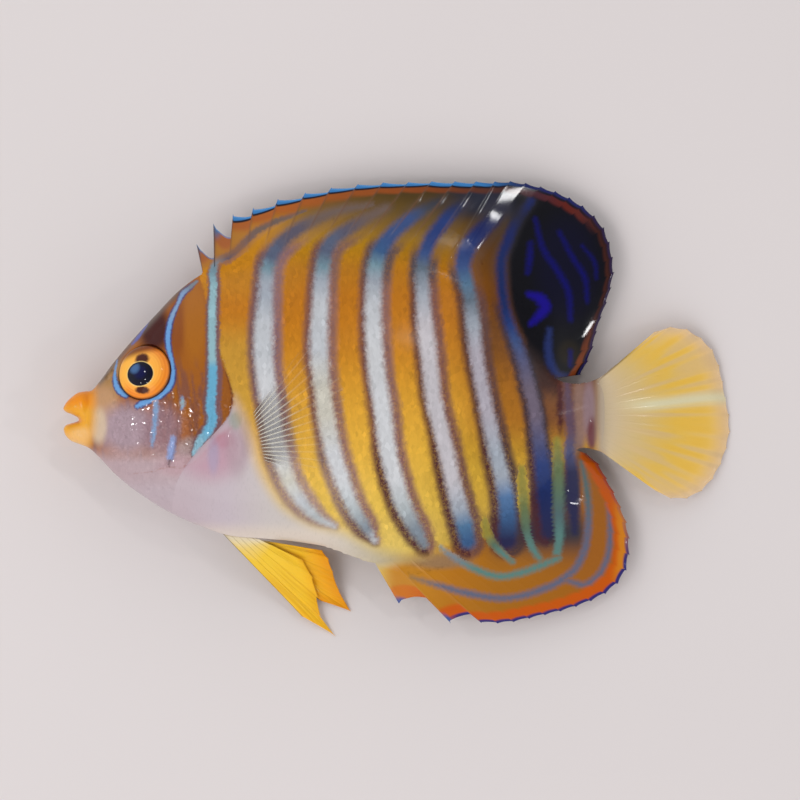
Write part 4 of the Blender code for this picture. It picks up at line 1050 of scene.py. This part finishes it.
def paint_dorsal_rim(fields, x, y, depth, f, ray, out):
    """Orange to red-brown along the rim, and blue wedges on a black line outside it."""
    lobe, rear, spiny = ease(x, 11, 21), ease(x, 25.5, 28.5), ray < 2
    warm = (1 - ease(depth, 1.4, mix(3.0, 2.0, ease(x, -14, 0)))) * ease(out, 0.1, 0.4) * (1 - 0.4 * rear)
    warm *= 1 - rear * ease(depth, 0.9, 1.5)
    rim = wash(graded(x, DORSAL_RIM_STOPS), "#7A3A18", 1 - ease(y, 7, 14))
    for key in ("base", "light", "border"):
        fields[key] = mix(fields[key], rim, warm[:, None])
    brown = bell(np.minimum(f, 1 - f), 0.05) * (ray < 13) * (1 - ease(x, 4, 10)) * ease(out, 0.1, 0.4)
    wedge = mix(np.where(ray < 10, 0.72, 0.7), np.where(ray < 10, 0.25, 0.55), f)
    wedge = np.where(spiny, -1.0, wedge) * (1 - 0.2 * lobe)
    return overlay(
        fields, ("#94602C", 0.6 * (1 - ease(x, -23, -19)) * (1 - warm) * ease(out, 0.05, 0.2)),
        ("#5E3212", 0.5 * brown), ("#35628E", 0.9 * ease(out, 0.55, 0.85) * spiny * (1 - ease(f, 0.1, 0.4))),
        ("#3A2A30", 0.8 * spiny * (1 - ease(f, 0.0, 0.05))),
        ("#15101C", (1 - ease(depth, wedge + 0.18, wedge + 0.36)) * (1 - 0.5 * rear)),
        ("#3474B0", (1 - ease(depth, wedge - 0.12, wedge + 0.03)) * (1 - lobe)),
        ("#1C2058", (1 - ease(depth, wedge - 0.15, wedge + 0.03)) * lobe * (1 - 0.6 * rear)),
        ("#5C9CD4", 0.6 * (1 - ease(depth, 0.05, 0.3)) * (1 - ease(x, 6, 12))))


def paint_anal_rim(fields, x, y, depth, f, ray, out):
    """Orange along the rim, a violet line on its edge, and blue tips on the first spines."""
    warm = (1 - ease(depth, 1.7, 2.7)) * ease(out, 0.25, 0.5)
    return overlay(
        fields, ("#BE5206", warm),
        ("#C87818", warm * ease(x, 30, 32) * (1 - ease(depth, 1.2, 2.0)) * (1 - ease(y, -15, -11))),
        ("#C47818", 0.6 * warm * (1 - ease(x, 0, 6))),
        ("#2A2468", (1 - ease(depth, 0.36, 0.66)) * ease(x, 6, 9) * (1 - 0.75 * ease(y, -22, -15))),
        ("#35508E", ease(out, 0.8, 0.92) * (ray < 2) * (1 - ease(f, 0.08, 0.2))))


def simple_fan(base_points, rim_points, count, before=(), behind=(), usual=(0.1, 0.02)):
    base, rim = Curve(base_points), Curve(rim_points)
    shares = np.linspace(0, 1, count)
    return Fan(base.at(shares), rim.at(shares), before, behind, usual)


def make_fin(name, fan, per_ray, rows, surfaces, ridges, paint, material, inset):
    """A paired fin or the tail fin. surfaces gives middle and half-thickness, paint colour and alpha."""
    place, t, x, y, depth = fan_grid(fan, per_ray, rows, inset=inset)
    shape = x.shape
    f, ray, share = (np.broadcast_to(values[:, None], shape) for values in
                     (place - np.floor(place), np.floor(place), place / (len(fan.bases) - 1)))
    raised = ridges(f, np.clip(t, 0, 1), ray)
    x, y, t, share, depth, raised = (values.ravel() for values in (x, y, t, share, depth, raised))
    mid, half = surfaces(x, y, t, share)
    half = (half + raised) * mix(1, 0.4, ease(-depth, -0.3, 0))
    base, clear = paint(x, y, t, share, raised)
    top, under = np.stack([x, y, mid + half], 1), np.stack([x, y, np.maximum(mid - half, 0.0)], 1)
    return make_sheet(name, top, under, shape, {"base": base, "clear": clear}, material)


def make_caudal(material):
    count = CAUDAL_RAYS
    rim = Curve(CAUDAL_RIM, 24).at(np.linspace(0, 1, count))
    low, high = belly.second_at(STALK_REAR) + 0.15, back.second_at(STALK_REAR) - 0.15
    heights = np.linspace(high, low, count)
    fan = Fan(np.stack([np.full(count, STALK_REAR + 0.3), heights], 1), rim, usual=(0.1, 0.02))

    def surfaces(x, y, t, share):
        off = np.abs(2 * share - 1)
        return caudal_middle(x), caudal_half(x, off)

    def ridges(f, out, ray):
        return ray_ridges(f, out, 0.016, ((0.2, 0.2), (0.5, 0.36), (0.5, 0.08)), 0.08) * (1 - 0.4 * out)

    def paint(x, y, t, share, raised):
        out = np.clip(t, 0, 1)
        colour = graded(out, [(0, "#B8A488"), (0.12, "#CAB492"), (0.35, "#D8BA7C"), (0.6, "#E8C05C"),
                              (0.85, "#F0C66A"), (1, "#F2CE9C")])
        noise = value_noise(share * 44, out * 2.4, 1.0, 11)
        bloom = ease(out, 0.3, 0.7) * (1 - ease(out, 0.78, 0.98))
        colour = wash(colour, "#EFBE44", 0.7 * ease(noise, 0.35, 0.75) * bloom)
        colour = wash(colour, "#D9B98A", 0.5 * ease(1 - noise, 0.45, 0.8) * ease(out, 0.1, 0.4))
        streak = bell(y - mix(0.6, 1.6, ease(x, 34, 46)), 0.9) * ease(x, 30, 37)
        colour = wash(colour, "#E2DCB8", streak * 0.85)
        edge = (1 - ease(share, 0.0, 0.035)) * (1 - ease(out, 0.3, 0.9))
        colour = wash(colour, "#6E5A40", edge * 0.8)
        flesh, _ = body_colour(x, y)
        colour = mix(flesh, colour, ease(x + 0.06 * y, 28.2, 30.0)[:, None])
        clear = mix(0.97, 0.8, ease(out, 0.1, 0.6)) - 0.25 * ease(out, 0.86, 1)
        return colour, clear

    return make_fin("caudal_fin_sheet", fan, 12, 64, surfaces, ridges, paint, material, 1.2)


PECTORAL_BASE = [(-20.5, -0.8), (-19.9, -3.6), (-18.9, -7.2)]
PECTORAL_RIM = [(-13.9, 8.0), (-12.0, 8.5), (-9.4, 6.8), (-7.9, 4.0), (-7.3, 0.5), (-7.6, -3.0), (-9.2, -6.2),
                (-11.2, -8.2), (-12.8, -8.9)]


def make_pectoral(name, side, material):
    fan = simple_fan(PECTORAL_BASE, PECTORAL_RIM, 16)

    def surfaces(x, y, t, share):
        out = np.clip(t, 0, 1)
        half = mix(0.16, 0.045, ease(out, 0, 0.4))
        if side < 0:
            return half + 0.14, half
        sunk = 0.9 * (1 - ease(t, -0.06, 0.03))
        return flank(x, y, 1) + 0.1 + half + 0.75 * out - sunk, half

    def ridges(f, out, ray):
        fine = np.maximum(ray_ridges(f, out, 0.05, ((0, 0),), 0.14), 0.02 * bell(f - 0.5, 0.1))
        return fine * (1 - 0.4 * out)

    def paint(x, y, t, share, raised):
        out = np.clip(t, 0, 1)
        rib = raised / 0.05
        colour = wash(np.broadcast_to(tone("#75655A"), x.shape + (3,)), "#DDD7C8", ease(rib, 0.25, 0.7))
        faded = mix(1.0, 0.08, ease(out, 0.15, 0.55)) * ease(out, -0.01, 0.08)
        return colour, mix(0.12, 0.6, ease(rib, 0.1, 0.7)) * faded

    return make_fin(name, fan, 8, 44, surfaces, ridges, paint, material, 0.9)


PELVIC_LIES_FROM, PELVIC_APART, PELVIC_LYING = -29.2, 0.4, 0.8
LEFT_PELVIC = ([(-24.3, -18.2), (-19.2, -18.7)],
               [(-13.6, -29.6), (-8.8, -32.5), (-10.9, -29.6), (-11.2, -27.0), (-11.9, -24.2),
                (-13.2, -21.6)])
RIGHT_PELVIC = ([(-23.4, -18.3), (-18.6, -18.75)],
                [(-10.9, -27.4), (-6.6, -28.9), (-8.3, -25.8), (-9.1, -23.2), (-9.7, -21.3), (-10.6, -20.1)])


def make_pelvic(name, ends, side, material):
    (first, last), tips = np.array(ends[0]), np.array(ends[1])
    bases = mix(first, last, np.linspace(0, 1, len(tips))[:, None])
    ragged = 1.0 if side > 0 else 0.3
    fan = Fan(bases, tips, before=[ragged * free for free in (0.3, 0.5, 0.6, 0.5, 0.4, 0.4)],
              behind=[0.1, 0.35 * ragged, 0.1, 0.1, 0.1, 0.1])

    def surfaces(x, y, t, share):
        level = mix(middle(np.array(-21.0)), PELVIC_LYING, ease(-y, -first[1], -PELVIC_LIES_FROM))
        level = level + side * PELVIC_APART - (0.9 * ease(-y, 28.9, 32.5) if side > 0 else 0)
        fold = 0.16 * np.sin(share * 17 + 0.6) * ease(t, 0.1, 0.6)
        return np.maximum(level + fold, 0.12), mix(0.4, 0.07, ease(t, 0, 0.3))

    def ridges(f, out, ray):
        strong = ray_ridges(f, out, 0.2, ((0, 0),), 0.05) * (1 - out)
        soft = ray_ridges(f, out, 0.12, ((0.15, 0.1), (0.3, 0.24), (0.5, 0.4)), 0.045) * (1 - 0.4 * out)
        return np.where((ray == 0) & (f < 0.5), strong, soft)

    def paint(x, y, t, share, raised):
        out = np.clip(t, 0, 1)
        stops = [(0, "#E4D6B8"), (0.12, "#EACB74"), (0.26, "#EFC43A"), (0.8, "#F1BE2E"), (1, "#F0B020")]
        if side < 0:
            stops = [(0, "#E8D8A8"), (0.15, "#ECC03C"), (0.6, "#F0BA2A"), (0.85, "#EDA41C"), (1, "#E4900E")]
        colour = graded(out, stops)
        noise = value_noise(share * 30, out * 2, 1.0, 5)
        colour = wash(colour, "#D8961A", 0.4 * ease(noise, 0.5, 0.85) * ease(out, 0.3, 0.6))
        colour = wash(colour, "#7A5A24", (1 - ease(share, 0.0, 0.02)) * 0.8)
        return colour, np.full(x.shape, 0.97)

    return make_fin(name, fan, 16, 60, surfaces, ridges, paint, material, 0.6)


# Materials.


class Shader:
    """A small helper that adds linked nodes to one material."""

    def __init__(self, name):
        self.material = bpy.data.materials.new(name)
        self.material.use_nodes = True
        self.tree = self.material.node_tree
        self.surface = self.tree.nodes["Principled BSDF"]

    def node(self, kind, inputs=None, **settings):
        made = self.tree.nodes.new(kind)
        for key, value in settings.items():
            setattr(made, key, value)
        for key, value in (inputs or {}).items():
            self.link(value, made.inputs[key])
        return made

    def link(self, value, socket):
        if isinstance(value, bpy.types.NodeSocket):
            self.tree.links.new(value, socket)
        else:
            socket.default_value = value

    def field(self, name, colour=False):
        made = self.node("ShaderNodeAttribute", attribute_name=name)
        return made.outputs["Color" if colour else "Fac"]

    def math(self, operation, a, b=0.0):
        return self.node("ShaderNodeMath", {0: a, 1: b}, operation=operation).outputs[0]

    def plus(self, a, b):
        return self.math("ADD", a, b)

    def times(self, a, b):
        return self.math("MULTIPLY", a, b)

    def squared_distance(self, a, b, centre, half=(1.0, 1.0)):
        """Squared distance of (a, b) from a centre, in half-sizes."""
        parts = [self.math("DIVIDE", self.math("SUBTRACT", value, at), size)
                 for value, at, size in zip((a, b), centre, half)]
        return self.plus(self.times(parts[0], parts[0]), self.times(parts[1], parts[1]))

    def smooth(self, value, start, end):
        inputs = {"Value": value, "From Min": start, "From Max": end}
        return self.node("ShaderNodeMapRange", inputs, interpolation_type="SMOOTHSTEP").outputs["Result"]

    def blend(self, a, b, share):
        made = self.node("ShaderNodeMix", data_type="RGBA")
        self.link(share, made.inputs[0])
        self.link(a, made.inputs[6])
        self.link(b, made.inputs[7])
        return made.outputs[2]

    def noise(self, scale, detail=2.0, stretch=(1, 1, 1)):
        place = self.node("ShaderNodeTexCoord").outputs["Object"]
        mapped = self.node("ShaderNodeMapping", {"Vector": place, "Scale": stretch}).outputs[0]
        inputs = {"Vector": mapped, "Scale": scale, "Detail": detail}
        return self.node("ShaderNodeTexNoise", inputs).outputs["Fac"]

    def centred(self, value, amount):
        return self.times(self.math("SUBTRACT", value, 0.5), amount)

    def finish(self, roughness, coat, coat_roughness, bump=None, bump_mm=0.0):
        self.surface.inputs["Specular IOR Level"].default_value = 0.06
        self.link(roughness, self.surface.inputs["Roughness"])
        self.surface.inputs["Coat Weight"].default_value = coat
        self.surface.inputs["Coat Roughness"].default_value = coat_roughness
        self.surface.inputs["Coat IOR"].default_value = 1.36
        if bump is not None:
            made = self.node("ShaderNodeBump", {"Height": bump, "Strength": 1.0, "Distance": bump_mm * MM})
            self.link(made.outputs[0], self.surface.inputs["Normal"])
        return self.material


MOTTLE, GRAIN = 2400.0, 5200.0  # noise cells in a metre


EDGE_SHAKE, BORDER_GRAIN = 0.24, 0.24
HAIR, HAIR_STRETCH, HAIR_DARKENS = 1600.0, (3.2, 0.8, 1.0), 0.09


def marked_colour(shader):
    """Ground, dark borders and light lines, with mottled edges."""
    mottle, fine = shader.noise(MOTTLE, 3.0), shader.noise(GRAIN, 2.0)
    soft, reach = shader.field("soft"), shader.field("reach")
    shake = shader.math("MINIMUM", soft, EDGE_SHAKE)

    def shaken(value, noise):
        return shader.plus(value, shader.times(shader.centred(noise, 2.4), shake))

    value = shaken(shader.field("mark"), mottle)
    edge = shaken(shader.math("SUBTRACT", value, reach), fine)
    dark = shader.smooth(shader.math("DIVIDE", edge, soft), 1.0, -0.9)
    light = shader.smooth(shader.math("DIVIDE", value, soft), 1.0, -1.1)
    grain = shader.times(shader.smooth(shader.plus(fine, mottle), 0.8, 1.15), BORDER_GRAIN)
    grain = shader.plus(grain, 1 - BORDER_GRAIN)
    speckled = shader.times(shader.times(dark, grain), shader.smooth(reach, 0.05, 0.2))
    ground = shader.blend(shader.field("base", True), shader.field("border", True), speckled)
    return shader.blend(ground, shader.field("light", True), light)


def skin_material(name, scale_tint, coat=0.5, coat_roughness=0.1):
    """Wet skin, or the scales on it, which differ a little in brightness."""
    shader = Shader(name)
    hair = shader.smooth(shader.noise(HAIR, 3.0, HAIR_STRETCH), 0.5, 0.8)
    colour = shader.blend(marked_colour(shader), (0.02, 0.01, 0.01, 1), shader.times(hair, HAIR_DARKENS))
    if scale_tint:
        lift = shader.plus(1.0, shader.times(shader.field("tint"), 0.05))
        colour = shader.node("ShaderNodeHueSaturation", {"Color": colour, "Value": lift}).outputs[0]
    shader.link(colour, shader.surface.inputs["Base Color"])
    rough = shader.plus(0.4, shader.centred(shader.noise(900.0), 0.12))
    return shader.finish(rough, coat, coat_roughness, shader.noise(4200.0, 3.0), 0.006)


def fin_material(name):
    shader = Shader(name)
    colour = marked_colour(shader)
    rib = shader.field("rib")
    colour = shader.blend(colour, (1.0, 0.9, 0.75, 1), shader.times(rib, 0.02))
    shader.link(colour, shader.surface.inputs["Base Color"])
    return shader.finish(0.4, 0.5, 0.07, shader.noise(3600.0, 3.0), 0.012)


def clear_fin_material(name):
    shader = Shader(name)
    grain = shader.noise(1800.0, 3.0, (0.6, 2.4, 1.0))
    colour = shader.blend(shader.field("base", True), (0.55, 0.38, 0.12, 1), shader.centred(grain, 0.3))
    shader.link(colour, shader.surface.inputs["Base Color"])
    shader.link(shader.field("clear"), shader.surface.inputs["Alpha"])
    return shader.finish(0.4, 0.25, 0.12, shader.noise(4200.0, 2.0), 0.006)


EYE_PATCHES = (((0.0, 1.6), (0.95, 0.8)), ((0.3, -2.8), (0.95, 0.45)))  # centre and half-sizes
# Painted reflections in the pupil, each as centre, reach and colour: deep navy in its middle, paler blue
# towards the snout
PUPIL_PAINTED_REFLECTIONS = (((-0.1, -0.35), 1.6, (0.001, 0.002, 0.05, 1)), ((-0.95, 0.25), 1.1, (0.05, 0.12, 0.27, 1)))


def eye_material():
    """Orange rings round a black pupil with a bronze edge and painted blue reflections, a dark patch above
    and below it, and painted shade of the brow at the iris's top.
    """
    shader = Shader("eye")
    a, b, pupil = shader.field("across"), shader.field("up"), shader.field("pupil")
    radius = shader.math("SQRT", shader.squared_distance(a, b, (0.0, 0.0)))
    wave = shader.centred(shader.noise(2600.0, 3.0), 0.5)
    ripple = shader.plus(shader.math("SINE", shader.times(radius, 17.0)), 1.0)
    ripple = shader.times(ripple, shader.smooth(radius, 1.8, 3.4))
    colour = shader.blend((0.95, 0.42, 0.06, 1), (0.86, 0.25, 0.02, 1), shader.smooth(radius, 2.4, 3.6))
    colour = shader.blend(colour, (0.66, 0.16, 0.01, 1), shader.times(ripple, 0.16))
    yellow = shader.smooth(shader.plus(a, shader.times(b, -0.3)), -0.8, -2.6)
    colour = shader.blend(colour, (0.9, 0.46, 0.06, 1), shader.times(yellow, 0.7))
    for centre, half in EYE_PATCHES:
        away = shader.plus(shader.squared_distance(a, b, centre, half), shader.times(wave, 1.6))
        colour = shader.blend(colour, (0.06, 0.01, 0.003, 1), shader.smooth(away, 1.9, 0.5))
    # Painted shadow of the brow, darkening the top of the iris
    brow = shader.smooth(shader.math("SUBTRACT", b, shader.times(a, 0.3)), 1.9, 3.4)
    colour = shader.blend(colour, (0.13, 0.022, 0.004, 1), shader.times(brow, 0.9))
    rim = shader.smooth(radius, IRIS_RADIUS - 0.22, IRIS_RADIUS + 0.1)
    colour = shader.blend(colour, (0.05, 0.02, 0.015, 1), rim)
    bronze = shader.times(shader.smooth(pupil, 1.12, 1.05), 0.8)
    colour = shader.blend(colour, (0.82, 0.58, 0.2, 1), bronze)
    colour = shader.blend(colour, (0.003, 0.003, 0.012, 1), shader.smooth(pupil, 1.05, 0.98))
    inside_pupil = shader.smooth(pupil, 0.98, 0.8)
    # Painted reflections of the light, in blue, inside the pupil
    for centre, reach, tint in PUPIL_PAINTED_REFLECTIONS:
        painted_reflection = shader.times(shader.smooth(shader.squared_distance(a, b, centre), reach, 0.0), inside_pupil)
        colour = shader.blend(colour, tint, painted_reflection)
    shader.link(colour, shader.surface.inputs["Base Color"])
    return shader.finish(0.35, 0.5, 0.03)


def floor_material():
    shader = Shader("floor")
    tint = shader.blend((0.71, 0.65, 0.64, 1), (0.68, 0.625, 0.615, 1), shader.noise(14.0, 2.0))
    shader.link(tint, shader.surface.inputs["Base Color"])
    return shader.finish(0.55, 0.0, 0.5)


# Floor, lights and camera.


FRAME_WIDTH = 113.6  # mm across the picture, at the height of the fish's middle
FRAME_CENTRE = (0.36, 1.28)
CAMERA_HEIGHT = 1200.0
SENSOR = 36.0
FLOOR_HALF = 900.0  # mm
SKY_RAMP = (0.4, 0.9, 1.17, 0.3)  # brightness from low on the sides to straight above
SOFTBOX_AT, SOFTBOX_SIZE, SOFTBOX_POWER = (-270, -450, 720), 640, 1.7
# Each lamp as place, size and power: three round the fish, and small ones that glint in the cheek's scales
LAMPS = [(100, 225, 410, 22, 0.1), (336, -48, 330, 22, 0.11), (-274, 173, 355, 22, 0.08),
         (-240, -35, 435, 12, 0.07), (-320, -20, 330, 12, 0.06), (-200, -70, 450, 12, 0.07),
         (-285, -95, 390, 12, 0.06), (-275, 35, 400, 12, 0.06), (-180, 10, 460, 12, 0.07)]


def make_floor(material):
    points = FLOOR_HALF * np.array([(-1.0, -1, 0), (1, -1, 0), (1, 1, 0), (-1, 1, 0)])
    mesh = bpy.data.meshes.new("floor")
    mesh.from_pydata((points * MM).tolist(), [], [(0, 1, 2, 3)])
    mesh.materials.append(material)
    made = bpy.data.objects.new("floor", mesh)
    bpy.context.scene.collection.objects.link(made)


def add_light(name, place, size, power):
    """A soft round light at a place in millimetres that looks at the fish."""
    lamp = bpy.data.lights.new(name, "AREA")
    lamp.shape = "DISK"
    lamp.size = size * MM
    lamp.energy = power
    made = bpy.data.objects.new(name, lamp)
    made.location = Vector(place) * MM
    made.rotation_euler = (Vector((0, 0, 6)) * MM - made.location).to_track_quat("-Z", "Y").to_euler()
    bpy.context.scene.collection.objects.link(made)


def make_stage():
    scene = bpy.context.scene
    scene.view_settings.view_transform = "Standard"
    world = bpy.data.worlds.new("studio")
    world.use_nodes = True
    sky = world.node_tree
    place = sky.nodes.new("ShaderNodeTexCoord").outputs["Generated"]
    split = sky.nodes.new("ShaderNodeSeparateXYZ")
    sky.links.new(place, split.inputs[0])
    ramp = sky.nodes.new("ShaderNodeMapRange")
    ramp.interpolation_type = "SMOOTHSTEP"
    for socket, value in zip(ramp.inputs[1:5], SKY_RAMP):
        socket.default_value = value
    sky.links.new(split.outputs["Z"], ramp.inputs["Value"])
    sky.links.new(ramp.outputs["Result"], sky.nodes["Background"].inputs["Strength"])
    sky.nodes["Background"].inputs["Color"].default_value = (0.96, 0.975, 1.0, 1)
    scene.world = world
    add_light("softbox", SOFTBOX_AT, SOFTBOX_SIZE, SOFTBOX_POWER)
    for number, lamp in enumerate(LAMPS):
        add_light(f"lamp_{number}", lamp[:3], *lamp[3:])
    make_floor(floor_material())
    lens_data = bpy.data.cameras.new("camera")
    camera = bpy.data.objects.new("camera", lens_data)
    lens_data.sensor_width = SENSOR
    lens_data.lens = SENSOR * (CAMERA_HEIGHT - MID_HEIGHT) / FRAME_WIDTH
    lens_data.clip_end = 10.0
    camera.location = (FRAME_CENTRE[0] * MM, FRAME_CENTRE[1] * MM, CAMERA_HEIGHT * MM)
    scene.collection.objects.link(camera)
    scene.camera = camera


def dress(piece, slot, *nodes):
    """The piece rides on the fish's one body and stands for nodes of the frame, which it hides. slot is not
    used.
    """
    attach(piece, "root")
    if nodes:
        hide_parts(*nodes)


def main():
    make_stage()
    skin, scaled = skin_material("skin", False), skin_material("scales", True, 0.4, 0.2)
    cheeky = skin_material("head_scales", True, 0.8, 0.06)
    finned, clear = fin_material("finned_skin"), clear_fin_material("membrane")
    eye = eye_material()
    dress(make_skin(skin), "skin", "head", "upper_jaw", "lower_jaw", "torso", "tail_stalk")
    on_flank, on_head = flank_roots(), head_roots()
    for side, word in ((1, "left"), (-1, "right")):
        for where, part in (("front", on_flank[on_flank[:, 0] < 0]), ("rear", on_flank[on_flank[:, 0] >= 0])):
            dress(make_scales(f"scales_{where}_{word}", side, part, (3, 4), scaled, 0.034, 0.06), "skin")
        dress(make_scales(f"head_scales_{word}", side, on_head, (3, 3), cheeky, 0.02, 0.04, 0.08), "skin")
        dress(make_eye(f"eyeball_{word}", side, eye), "eye", f"eye_{word}")
        dress(make_pectoral(f"pectoral_sheet_{word}", side, clear), "clear_fin", f"pectoral_fin_{word}")
    dress(make_unpaired("dorsal_sheet", dorsal_fan, DORSAL_SAG, 14, paint_dorsal_rim, finned, 64),
          "dark_fin", "dorsal_fin")
    dress(make_unpaired("anal_sheet", anal_fan, ANAL_SAG, 3, paint_anal_rim, finned, 56),
          "orange_fin", "anal_fin")
    dress(make_caudal(clear), "yellow_fin", "caudal_fin")
    dress(make_pelvic("pelvic_sheet_left", LEFT_PELVIC, 1, clear), "yellow_fin", "pelvic_fin_left")
    dress(make_pelvic("pelvic_sheet_right", RIGHT_PELVIC, -1, clear), "yellow_fin", "pelvic_fin_right")


main()
